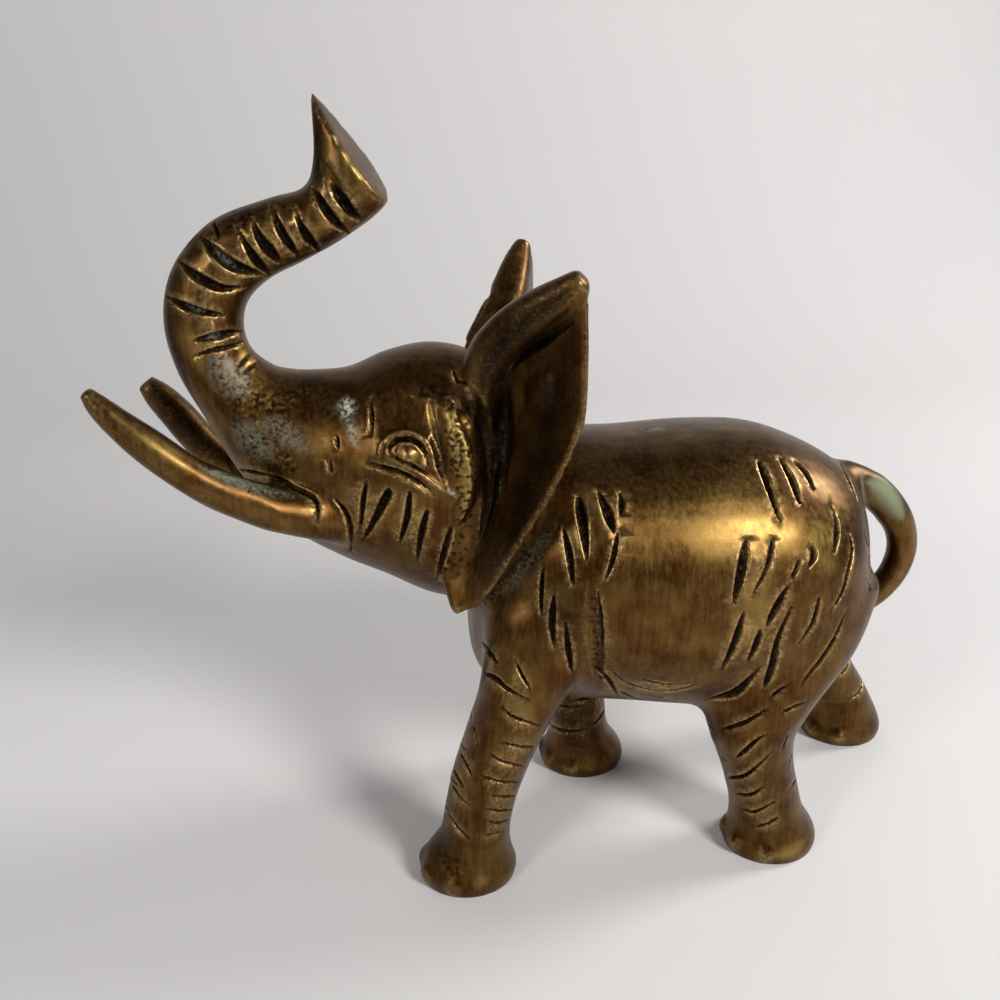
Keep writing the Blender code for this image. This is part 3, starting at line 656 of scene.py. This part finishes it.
foreLegStrokes = [
    (1.5, 1.0, 0.5, (482, 642), (490, 653), (498, 664)),
    (0.9, 0.8, 0.5, (515, 660), (522, 676), (531, 691)),
    (1.3, 0.8, 0.4, (485, 673), (495, 678), (505, 687), (532, 702)),
    (0.95, 0.9, 0.6, (501, 704), (508, 714), (520, 720), (540, 726)),
    (0.9, 0.9, 0.7, (494, 738), (507, 744), (520, 747), (534, 747)),
    (0.95, 0.9, 0.6, (488, 751), (496, 759), (509, 764), (524, 766)),
    (0.85, 0.8, 0.6, (480, 774), (487, 778), (500, 782), (518, 782)),
    (0.9, 0.8, 0.6, (489, 795), (500, 797), (515, 796)),
    (0.85, 0.8, 0.5, (485, 809), (498, 811), (514, 809)),
    (0.85, 0.8, 0.6, (486, 821), (498, 823), (508, 820)),
    (0.7, 0.7, 0.5, (483, 836), (493, 834), (503, 831)),
    (0.7, 0.7, 0.5, (474, 725), (476, 736), (478, 748)),
    (0.9, 0.9, 0.5, (461, 754), (467, 766), (472, 777)),
    (1.0, 0.9, 0.5, (454, 770), (459, 780), (464, 788)),
    (0.9, 0.9, 0.4, (452, 784), (459, 796), (469, 806)),
    (0.9, 0.9, 0.5, (449, 814), (457, 827), (471, 840)),
]
hindLegStrokes = [
    (1.2, 0.6, 0.5, (721, 729), (741, 724), (770, 708)),
    (1.2, 0.8, 0.4, (736, 758), (745, 751), (756, 741), (768, 734)),
    (1.1, 0.9, 0.3, (729, 778), (744, 776), (758, 766), (773, 750)),
    (1.1, 0.9, 0.4, (736, 794), (750, 795), (765, 786)),
    (0.9, 0.8, 0.4, (742, 809), (752, 812), (766, 807), (777, 800)),
    (1.1, 0.8, 0.6, (752, 827), (768, 824), (779, 817)),
    (0.7, 0.6, 0.5, (788, 735), (782, 751)),
    (0.7, 0.6, 0.5, (792, 752), (788, 769)),
    (0.7, 0.6, 0.5, (796, 779), (788, 795)),
]

# Short wrinkles across the legs where the photo doesn't show them, and the toes' low bosses
legWork = {
    "seed": 7,
    "lowest": 14,
    "highest": 44,
    "count": 8,
    "points": 14,                # to each wrinkle's line
    "turns": (-45, 50),          # degrees from the leg's side, by turns
    "turnSpread": (-12, 12),
    "reach": (48, 66),           # degrees each way
    "slant": (1.0, 3.0),
    "width": (0.85, 1.2),
    "depth": (0.7, 1.0),
    "toeTurns": (-65, -22, 22, 65),
    "toeHeight": 3.2,
    "toeRadius": 3.6,
    "toeSwell": 0.8,
}

# Where the finish differs, by places in the photo as above: width, strength, widest, places.
# Soot and painted shade in deep corners and shaded parts, chalky grey and green corrosion, bare gold where
# hands rub, with painted highlights among it, and rough grain.
finishAndPaintedLight = {
    # soot and dark patina, with painted shade where the far tusk, the far foreleg, the ear's hollow and the
    # eye's socket lie in shade
    "sootAndPaintedShade": [
        (9.0, 0.85, 0.5, (146, 384), (166, 402), (198, 440), (226, 468)),
        (17.0, 0.6, 0.5, (566, 694), (574, 724), (582, 765)),
        (8.0, 0.55, 0.5, (384, 424), (404, 420), (426, 434)),
        (24.0, 0.35, 0.5, (372, 540), (412, 556), (446, 572)),
        (22.0, 0.4, 0.5, (540, 560), (562, 610), (578, 668)),
        (12.0, 0.6, 0.5, (428, 852), (444, 846), (466, 850)),
        (20.0, 0.86, 0.5, (572, 326), (556, 390), (540, 460), (512, 530), (482, 592)),
        (11.0, 1.0, 0.5, (494, 352), (505, 385), (500, 430), (497, 480), (488, 530), (474, 575)),
        (5.0, 1.0, 0.5, (508, 368), (522, 351), (548, 336), (578, 310)),
        (9.0, 0.9, 0.5, (580, 282), (545, 308), (506, 338), (488, 372), (478, 404)),
        (5.0, 0.95, 0.5, (449, 372), (466, 396), (478, 424), (484, 452), (487, 482), (484, 512), (476, 548)),
        (9.0, 0.5, 0.5, (388, 404), (408, 408), (430, 412)),
        (3.0, 0.9, 0.5, (433, 414), (440, 440), (444, 466), (448, 484)),
        (5.0, 0.6, 0.5, (322, 390), (338, 386), (352, 384)),
        (5.0, 0.6, 0.5, (408, 396), (428, 393), (444, 396)),
        (4.5, 0.45, 0.5, (225, 384), (262, 388), (300, 385), (330, 386), (352, 386)),
        (7.0, 0.9, 0.5, (316, 108), (316, 140), (320, 172), (330, 186)),
        (4.4, 0.9, 0.5, (334, 184), (348, 207), (362, 222)),
        (4.0, 0.75, 0.5, (168, 300), (172, 340), (188, 385), (205, 420)),
        (3.0, 0.7, 0.5, (184, 250), (214, 216), (262, 198), (306, 184)),
        (3.4, 0.7, 0.5, (262, 276), (300, 258), (340, 240), (366, 224)),
        (4.4, 0.6, 0.5, (597, 590), (600, 640), (602, 686)),
        (5.0, 0.7, 0.5, (478, 606), (510, 572), (545, 535), (575, 500)),
        (4.0, 0.8, 0.5, (498, 628), (488, 655), (480, 690)),
        (4.0, 0.9, 0.5, (560, 694), (600, 700), (650, 708), (700, 706)),
        (5.0, 0.7, 0.5, (430, 842), (444, 856), (456, 868)),
        (3.0, 0.7, 0.5, (872, 520), (880, 560), (876, 592)),
    ],
    "grey": [
        (9.0, 0.75, 0.5, (212, 352), (222, 368), (236, 384), (246, 402)),
        (9.0, 0.7, 0.5, (228, 425), (252, 440), (275, 462)),
        (7.0, 0.6, 0.5, (258, 420), (285, 432), (308, 455)),
        (4.6, 0.9, 0.5, (198, 466), (235, 480), (268, 490), (300, 498)),
        (2.2, 0.6, 0.5, (209, 240), (222, 256), (237, 270)),
        (2.0, 0.6, 0.5, (182, 303), (195, 309), (208, 312)),
        (2.4, 0.5, 0.5, (203, 338), (222, 334)),
        (5.0, 0.35, 0.5, (498, 604), (530, 560), (560, 520)),
    ],
    "chalk": [
        (4.6, 1.2, 0.4, (346, 398), (347, 408), (348, 420)),
        (1.5, 0.9, 0.4, (349, 416), (352, 430), (354, 446)),
        (3.4, 3.0, 0.5, (650, 427), (656, 427), (662, 427)),
        (1.4, 0.6, 0.5, (445, 486), (452, 493), (459, 499)),
    ],
    "mint": [
        (8.0, 0.85, 0.5, (866, 482), (882, 488), (896, 504), (903, 520)),
        (2.5, 0.5, 0.5, (862, 470), (864, 500), (868, 515)),
        (3.6, 0.4, 0.5, (205, 470), (245, 482), (285, 494)),
    ],
    # painted highlights laid on in gold where the light catches the flank, haunch, temple, tusk, trunk and
    # toes, with rubbed wear among them
    "goldAndHighlight": [
        (20.0, 0.6, 0.6, (648, 524), (690, 520), (740, 522), (800, 534)),
        (9.0, 0.8, 0.5, (722, 520), (760, 526), (800, 534)),
        (10.0, 0.8, 0.5, (812, 520), (826, 545), (828, 580)),
        (12.0, 0.6, 0.5, (770, 560), (752, 610), (742, 650)),
        (8.5, 1.0, 0.4, (446, 400), (453, 422), (461, 449), (467, 480), (464, 512)),
        (6.0, 0.8, 0.5, (184, 320), (190, 345), (202, 372)),
        (3.0, 1.0, 0.5, (196, 368), (204, 370)),
        (5.0, 0.9, 0.5, (240, 362), (256, 358)),
        (4.0, 0.25, 0.5, (345, 150), (352, 176), (362, 192)),
        (5.0, 0.8, 0.5, (110, 412), (150, 442), (190, 468)),
        (5.0, 0.9, 0.5, (578, 482), (590, 500), (612, 520)),
        (5.0, 0.7, 0.5, (500, 700), (520, 706), (536, 712)),
        (4.0, 0.7, 0.5, (470, 884), (490, 880)),
        (5.0, 1.0, 0.5, (772, 856), (790, 852), (806, 840)),
        (5.0, 0.5, 0.5, (908, 505), (914, 540), (900, 580)),
        (3.0, 0.7, 0.5, (591, 284), (587, 276)),
    ],
    "grain": [
        (10.0, 1.0, 0.5, (448, 392), (456, 424), (466, 460), (468, 500), (460, 540)),
        (14.0, 0.8, 0.5, (215, 365), (245, 400), (290, 395), (340, 385)),
        (12.0, 0.8, 0.5, (235, 430), (265, 450), (300, 475)),
        (6.0, 0.9, 0.5, (410, 395), (432, 392), (446, 396)),
        (8.0, 0.7, 0.5, (440, 585), (452, 560), (462, 535)),
        (7.0, 0.8, 0.5, (480, 608), (510, 574), (545, 538), (572, 505)),
        (5.0, 0.7, 0.5, (592, 590), (596, 640), (600, 686)),
        (7.0, 0.7, 0.5, (436, 845), (450, 862), (470, 876)),
        (7.0, 0.5, 0.5, (210, 240), (240, 220), (290, 205), (330, 195)),
        (5.0, 0.7, 0.5, (588, 296), (592, 312)),
    ],
}


def strokeWidths(along, widest):
    # from 0 at both ends to 1 at the widest place
    lean = math.log(0.5) / math.log(widest)
    return np.sin(math.pi * along ** lean) ** casting["strokeBluntness"]


def strokeAt(points, outward, path, facing, width, widest):
    # a stroke's points: which they are, how far off in half widths, the stroke's fullness there
    near, distance, along = alongStroke(points, outward, path, facing, width * casting["strokeReach"])
    size = strokeWidths(along, widest)
    return near, distance / np.maximum(width / 2 * size, casting["leastHalfWidth"]), size


def onSkin(tree, pixels):
    # a stroke's line on the skin, and the way that the skin faces there
    spanSteps, straightPoints = 8, 12
    line = spline(pixels, spanSteps) if len(pixels) > 2 else np.linspace(*pixels, straightPoints)
    hits = [throughPixel(tree, pixelX, pixelY) for pixelX, pixelY in line]
    hits = [(place, facing) for place, facing in hits if place is not None]
    if len(hits) < 2:
        return None
    return np.array([place for place, facing in hits]), np.mean([facing for place, facing in hits], axis=0)


def mirrored(tree, path, facing):
    # the same stroke on the body's other side
    found = [tree.find_nearest(Vector((x, 2 * middlePlane - y, z)))[0] for x, y, z in path]
    return np.array(found), facing * (1, -1, 1)


def strokes(points, outward, tree, rows, both):
    # each row's stroke in turn, on one side or on both, and its depth
    for width, deep, widest, *pixels in rows:
        found = onSkin(tree, pixels)
        if found is None:
            continue
        for path, facing in ([found, mirrored(tree, *found)] if both else [found]):
            yield (*strokeAt(points, outward, path, facing, width, widest), deep)


def wrinkles(name, side, draw):
    # lines across one side of a leg, each a slanting part of a turn
    table = np.array(sorted(legStations(legs[name]), key=lambda row: row[2]))
    for index, z in enumerate(np.linspace(legWork["lowest"], legWork["highest"], legWork["count"])):
        spread = draw.uniform(*legWork["turnSpread"])
        middle = math.radians(90 * side + legWork["turns"][index % 2] + spread)
        reach = math.radians(draw.uniform(*legWork["reach"]))
        slant = draw.uniform(*legWork["slant"])
        path = []
        for share in np.linspace(-1, 1, legWork["points"]):
            level = z + slant * share
            x, y, halfLength, halfWidth = [np.interp(level, table[:, 2], table[:, column])
                                           for column in (0, 1, 3, 4)]
            angle = middle + reach * share
            path.append((x + halfLength * math.cos(angle), y + halfWidth * math.sin(angle), level))
        facing = np.array((math.cos(middle), math.sin(middle), 0))
        yield np.array(path) - shift, facing, draw.uniform(*legWork["width"]), draw.uniform(*legWork["depth"])


def softly(ratio):
    # from 1 on a stroke's line to 0 at its edge
    return np.clip(1 - ratio ** 2, 0, 1) ** 2


def noiseAt(points, size):
    # a smooth noise from -1 to 1
    return np.array([noise.noise(Vector(point) / size) for point in points])


def shapeBroadly(skin):
    points, outward = positions(skin.data), normals(skin.data)
    tree = BVHTree.FromObject(skin, bpy.context.evaluated_depsgraph_get())
    move = np.zeros(len(points))
    for near, ratio, size, deep in strokes(points, outward, tree, broadStrokes, True):
        move[near] -= softly(ratio) * deep * size
    for leg in legs.values():
        for turn in legWork["toeTurns"]:
            angle = math.radians(180 + turn)
            toe = np.array((leg["sole"][0] + casting["footLength"] / 2 * math.cos(angle),
                            leg["sole"][1] + casting["footWidth"] / 2 * math.sin(angle),
                            legWork["toeHeight"])) - shift
            ratio = np.linalg.norm(points - toe, axis=1) / legWork["toeRadius"]
            move += softly(ratio) * legWork["toeSwell"]
    setPositions(skin.data, points + outward * move[:, None])


def carve(skin):
    points, outward = positions(skin.data), normals(skin.data)
    tree = BVHTree.FromObject(skin, bpy.context.evaluated_depsgraph_get())
    draw = np.random.default_rng(legWork["seed"])
    cut, lip, floor, raised = (np.zeros(len(points)) for _ in range(4))
    endDepth, evenFloor = casting["endDepth"], 1.6

    def sink(near, ratio, size, deep):
        step = np.clip((casting["cutEdge"] - ratio) / casting["cutSlope"], 0, 1)
        profile = step * step * (3 - 2 * step)
        crest = np.exp(-((ratio - casting["lipPlace"]) / casting["lipSpread"]) ** 2)
        cut[near] = np.maximum(cut[near], profile * deep * (endDepth + (1 - endDepth) * size))
        floor[near] = np.maximum(floor[near], profile * np.clip(size * evenFloor, 0, 1))
        lip[near] = np.maximum(lip[near], crest * size)

    for rows, both in ((flankStrokes, True), (faceStrokes, True), (trunkStrokes, True),
                       (foreLegStrokes, False), (hindLegStrokes, False)):
        for near, ratio, size, deep in strokes(points, outward, tree, rows, both):
            sink(near, ratio, size, deep)
    for name in legs:
        for side in ((1,) if name.startswith("left") else (-1, 1)):
            for path, facing, width, deep in wrinkles(name, side, draw):
                sink(*strokeAt(points, outward, path, facing, width, 0.5), deep)
    for near, ratio, size, high in strokes(points, outward, tree, faceRidges, True):
        raised[near] = np.maximum(raised[near], softly(ratio) * high * size)
    for pixel, radius, high in faceBosses:
        place, facing = throughPixel(tree, *pixel)
        for centre in (place, Vector((place.x, 2 * middlePlane - place.y, place.z))):
            raised += softly(np.linalg.norm(points - np.array(centre), axis=1) / radius) * high
    uncut = 1 - np.clip(raised * 2, 0, 1)        # no cut runs through a raised edge
    cut *= uncut
    floor *= uncut
    lip *= 1 - floor
    shine = np.maximum(lip * casting["lipShine"], np.clip(raised, 0, 1))
    marks = {"recess": floor, "rubbedEdge": shine}
    for name, rows in finishAndPaintedLight.items():
        strength = np.zeros(len(points))
        for near, ratio, size, strong in strokes(points, outward, tree, rows, True):
            share = softly(ratio * casting["finishSpread"]) * strong * size ** 0.5
            strength[near] = np.maximum(strength[near], share)
        marks[name] = strength
    rough = np.clip(np.maximum(floor, marks["grain"]), 0, 1)
    grainy = np.flatnonzero(rough > casting["leastPitting"])
    pits = np.zeros(len(points))
    pits[grainy] = noiseAt(points[grainy], casting["pitSize"]) * rough[grainy]
    move = raised - cut + casting["lipHeight"] * lip + casting["pitDepth"] * pits
    setPositions(skin.data, points + outward * move[:, None])
    marks["pits"] = np.clip(0.5 + pits, 0, 1)
    return marks


def store(skin, name, values):
    layer = skin.data.attributes.new(name, "FLOAT", "POINT")
    layer.data.foreach_set("value", values.astype(np.float32))


print("casting: carving")
shapeBroadly(skin)
marks = carve(skin)
for name, values in marks.items():
    store(skin, name, values)


def measureCurvature(skin):
    # raised places above zero and hollow ones below, against two smoother copies of the skin
    points, outward = positions(skin.data), normals(skin.data)
    weights = np.full(len(points), casting["curveShare"])
    fine = relax(skin.data, points, weights, casting["fineCurveRounds"])
    broad = relax(skin.data, fine, weights, casting["broadCurveRounds"])
    return ((points - fine) * outward).sum(axis=1), ((points - broad) * outward).sum(axis=1)


print("casting: finding rubbed and hollow places")
fineCurve, broadCurve = measureCurvature(skin)
store(skin, "fineCurve", fineCurve)
store(skin, "broadCurve", broadCurve)


def finish(skin):
    data = skin.data
    data.calc_loop_triangles()
    wanted = casting["triangles"]
    if len(data.loop_triangles) > wanted:
        decimate = skin.modifiers.new("fewer faces", "DECIMATE")
        decimate.ratio = wanted / len(data.loop_triangles)
        applyModifiers(skin)
    mesh = bmesh.new()
    mesh.from_mesh(skin.data)
    bmesh.ops.bisect_plane(mesh, geom=mesh.verts[:] + mesh.edges[:] + mesh.faces[:], dist=1e-4,
                           plane_co=(0, 0, 0), plane_no=(0, 0, 1), clear_inner=True)
    rims = [edge for edge in mesh.edges if edge.is_boundary]
    soles = bmesh.ops.edgeloop_fill(mesh, edges=rims)["faces"]
    bmesh.ops.triangulate(mesh, faces=soles)
    bmesh.ops.recalc_face_normals(mesh, faces=mesh.faces)
    bmesh.ops.scale(mesh, vec=(unit, unit, unit), verts=mesh.verts)
    mesh.to_mesh(skin.data)
    mesh.free()
    skin.data.shade_smooth()


print("casting: thinning and cutting the soles")
finish(skin)
print("casting:", len(skin.data.polygons), "faces")


def linearColour(hexColour):
    # sRGB hex to the linear values that the shader takes
    values = [int(hexColour[start:start + 2], 16) / 255 for start in (1, 3, 5)]
    return [value / 12.92 if value <= 0.04045 else ((value + 0.055) / 1.055) ** 2.4 for value in values] + [1]


def addNode(tree, kind, settings=None, links=None):
    # one node, with its properties or socket values, and what feeds its sockets
    node = tree.nodes.new(kind)
    for name, value in (settings or {}).items():
        if isinstance(name, str) and hasattr(node, name):
            setattr(node, name, value)
        else:
            node.inputs[name].default_value = value
    for name, source in (links or {}).items():
        tree.links.new(source, node.inputs[name])
    return node


# Sand-cast brass, filed and brushed up and down, then left to darken: gold where hands rub it, brown
# where they don't, gold painted highlights where the light catches it, near black with old soot in the cuts,
# and painted shade in hollows and shaded corners, so that the carving reads from across a room.
# Corrosion shows as a chalky grey or a mint green with no shine.
brass = {
    "brown": "#482808",
    # gold brass, also the colour of the painted highlights
    "goldAndHighlight": "#92763e",
    "rubbed": "#d8b67a",
    # soot, also the colour of the painted shade
    "sootAndPaintedShade": "#0b0704",
    "grey": "#7b7f70",
    "mint": "#869272",
    "chalk": "#c4c8ba",
    "filmWeight": 0.1,       # of the wax and hand grease on the metal, which whitens its highlights
    "filmRoughness": 0.3,
    "corrodedMetal": 0.25,   # how metallic the corrosion still is
    "brushShare": 0.06,      # of its width, how fast a brush mark changes along its length
    "grainDepth": 0.00012,   # m
    "grainStrength": 0.6,
    # noises: mm from one patch to the next, detail, roughness
    "noises": {
        "sand": (0.45, 3.0, 0.6),    # the casting sand's print
        "specks": (0.8, 2.0, 0.7),   # bright and dark specks in a rough place
        "mottle": (8, 6.0, 0.62),
        "brush": (1.0, 3.0, 0.6),    # the file's and brush's marks, drawn twice their width to show
    },
    # how a measure turns into a share: the measure, its own range, the share's range
    "shares": {
        "patchy": ("mottle", 0.36, 0.7, 0.0, 0.42),
        "streaky": ("brush", 0.3, 0.7, -0.12, 0.12),
        "raised": ("fineCurve", 0.03, 0.2, 0.0, 1.0),
        "worn": ("specks", 0.35, 0.6, 0.05, 0.5),
        # painted shade: darker in broad hollows, where shade falls
        "hollow": ("broadCurve", -0.25, -1.5, 0.0, 0.85),
        "bare": ("specks", 0.52, 0.7, 0.0, 0.45),
        "pitted": ("pits", 0.5, 0.3, 0.0, 0.8),
        "patch": ("specks", 0.38, 0.58, 0.0, 1.0),
        "sheen": ("brush", 0.3, 0.7, 0.30, 0.46),
        "grainHeight": ("grain", 0.0, 1.0, 0.25, 1.6),
    },
    # values worked out in turn: how, kept from 0 to 1 or not, and what it takes
    "steps": {
        # rubbed places and painted highlights, broken up by mottling and brush marks
        "uneven": ("ADD", False, "patchy", "streaky"),
        "golden": ("MULTIPLY_ADD", True, "goldAndHighlight", 0.75, "uneven"),
        # bright edges, broken by specks
        "edge": ("MAXIMUM", False, "raised", "rubbedEdge"),
        "bright": ("MULTIPLY", False, "edge", "worn"),
        # soot in the cuts, soot and painted shade in deep corners and broad hollows, with bare specks in the
        # rough floors
        "deepest": ("MAXIMUM", False, "recess", "sootAndPaintedShade"),
        "deep": ("MAXIMUM", False, "deepest", "hollow"),
        "sootAndShadeShare": ("SUBTRACT", True, "deep", "bare"),
        "dark": ("MAXIMUM", True, "sootAndShadeShare", "pitted"),
        # corrosion, patchy as the specks are; it is hardly metallic, and rough as the soot and painted shade
        # are
        "greyness": ("MULTIPLY", False, "grey", "patch"),
        "chalky": ("MULTIPLY", False, "chalk", "patch"),
        "greyOrMint": ("MAXIMUM", False, "greyness", "mint"),
        "corroded": ("MAXIMUM", False, "greyOrMint", "chalky"),
        "dull": ("MAXIMUM", False, "dark", "corroded"),
        "rough": ("MULTIPLY_ADD", True, "dull", 0.34, "sheen"),
        "relief": ("MULTIPLY", False, "sand", "grainHeight"),
    },
}


def makeBrass():
    material = bpy.data.materials.new("cast brass")
    material.use_nodes = True
    tree = material.node_tree
    shader = tree.nodes["Principled BSDF"]
    perMetre = 1000
    place = addNode(tree, "ShaderNodeTexCoord").outputs["Object"]
    along = addNode(tree, "ShaderNodeMapping", {"Scale": (1, 1, brass["brushShare"])}, {"Vector": place})
    measure = {name: addNode(tree, "ShaderNodeAttribute", {"attribute_name": name}).outputs["Fac"]
               for name in ("recess", "rubbedEdge", "sootAndPaintedShade", "grey", "mint", "chalk", "goldAndHighlight", "grain", "pits",
                            "fineCurve", "broadCurve")}
    for name, (size, detail, roughness) in brass["noises"].items():
        source = along.outputs["Vector"] if name == "brush" else place
        settings = {"Scale": perMetre / size, "Detail": detail, "Roughness": roughness}
        measure[name] = addNode(tree, "ShaderNodeTexNoise", settings, {"Vector": source}).outputs["Fac"]
    share = {}
    for name, (of, fromLow, fromHigh, toLow, toHigh) in brass["shares"].items():
        settings = {"From Min": fromLow, "From Max": fromHigh, "To Min": toLow, "To Max": toHigh}
        share[name] = addNode(tree, "ShaderNodeMapRange", settings, {"Value": measure[of]}).outputs["Result"]

    value = measure | share
    for name, (operation, clamped, *taken) in brass["steps"].items():
        settings = {"operation": operation, "use_clamp": clamped}
        settings |= {socket: source for socket, source in enumerate(taken) if not isinstance(source, str)}
        links = {socket: value[source] for socket, source in enumerate(taken) if isinstance(source, str)}
        value[name] = addNode(tree, "ShaderNodeMath", settings, links).outputs[0]

    # the bare metal, and each coat over the last
    colour = addNode(tree, "ShaderNodeMix", {"data_type": "RGBA", 6: linearColour(brass["brown"]),
                                             7: linearColour(brass["goldAndHighlight"])}, {0: value["golden"]})
    # over it: rubbed edges, then soot with painted shade, then the corrosion
    for name, amount in (("rubbed", "bright"), ("sootAndPaintedShade", "dark"), ("grey", "greyness"), ("mint", "mint"),
                         ("chalk", "chalky")):
        colour = addNode(tree, "ShaderNodeMix", {"data_type": "RGBA", 7: linearColour(brass[name])},
                         {0: value[amount], 6: colour.outputs[2]})
    metal = addNode(tree, "ShaderNodeMapRange", {"To Min": 1.0, "To Max": brass["corrodedMetal"]},
                    {"Value": value["corroded"]})
    bump = addNode(tree, "ShaderNodeBump",
                   {"Strength": brass["grainStrength"], "Distance": brass["grainDepth"]},
                   {"Height": value["relief"]})
    tree.links.new(colour.outputs[2], shader.inputs["Base Color"])
    tree.links.new(metal.outputs["Result"], shader.inputs["Metallic"])
    tree.links.new(value["rough"], shader.inputs["Roughness"])
    tree.links.new(bump.outputs["Normal"], shader.inputs["Normal"])
    shader.inputs["Coat Weight"].default_value = brass["filmWeight"]
    shader.inputs["Coat Roughness"].default_value = brass["filmRoughness"]
    return material


print("casting: brass")
skin.data.materials.clear()
skin.data.materials.append(makeBrass())
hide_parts("elephant")
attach(skin, "root")

studio = {
    "floorColour": "#eeebe9",
    "floorRoughness": 0.95,
    "floorHalfWidth": 1.6,       # m
    "floorFront": -1.2,
    "backdropPlace": 0.75,
    "backdropHeight": 1.6,
    "bendRadius": 0.35,
    "bendSteps": 16,
    "skyColour": "#cfd3d8",
    "skyStrength": 0.22,
    "lightsAim": (0, 0, 0.09),
    "lights": {                  # place and size in m, power in W
        "front light": ((0.47, -0.68, 0.54), 0.30, 6.0),
        "right light": ((0.81, 0.14, 0.57), 0.30, 4.2),
        "left light": ((-0.62, -0.54, 0.47), 0.20, 1.8),
    },
}


def makeFloor():
    # a pale sheet that runs up behind the piece in one round bend
    radius, back = studio["bendRadius"], studio["backdropPlace"]
    profile = [(studio["floorFront"], 0)]
    for step in range(studio["bendSteps"] + 1):
        turn = math.radians(90 * step / studio["bendSteps"])
        profile.append((back - radius + radius * math.sin(turn), radius - radius * math.cos(turn)))
    profile.append((back, studio["backdropHeight"]))
    mesh = bmesh.new()
    half = studio["floorHalfWidth"]
    sides = [[mesh.verts.new((x, y, z)) for y, z in profile] for x in (-half, half)]
    for index in range(len(profile) - 1):
        mesh.faces.new((sides[0][index], sides[1][index], sides[1][index + 1], sides[0][index + 1]))
    floor = addObject("floor", mesh)
    floor.data.shade_smooth()
    material = bpy.data.materials.new("matt paper")
    material.use_nodes = True
    shader = material.node_tree.nodes["Principled BSDF"]
    shader.inputs["Base Color"].default_value = linearColour(studio["floorColour"])
    shader.inputs["Roughness"].default_value = studio["floorRoughness"]
    floor.data.materials.append(material)
    return floor


print("studio: floor, light and camera")
makeFloor()
for name, (place, size, power) in studio["lights"].items():
    lamp = bpy.data.lights.new(name, "AREA")
    lamp.shape = "DISK"
    lamp.size = size
    lamp.energy = power
    light = bpy.data.objects.new(name, lamp)
    bpy.context.collection.objects.link(light)
    light.location = place
    light.rotation_euler = (Vector(studio["lightsAim"]) - Vector(place)).to_track_quat("-Z", "Y").to_euler()
world = bpy.data.worlds.new("studio")
world.use_nodes = True
sky = world.node_tree.nodes["Background"]
sky.inputs["Color"].default_value = linearColour(studio["skyColour"])
sky.inputs["Strength"].default_value = studio["skyStrength"]
bpy.context.scene.world = world
bpy.context.scene.view_settings.view_transform = "Standard"

cameraData = bpy.data.cameras.new("photo view")
cameraData.lens = photoView["lens"]
cameraData.sensor_width = photoView["sensor"]
camera = bpy.data.objects.new("photo view", cameraData)
bpy.context.collection.objects.link(camera)
camera.location = eye * unit
camera.rotation_euler = eyeAngles
bpy.context.scene.camera = camera
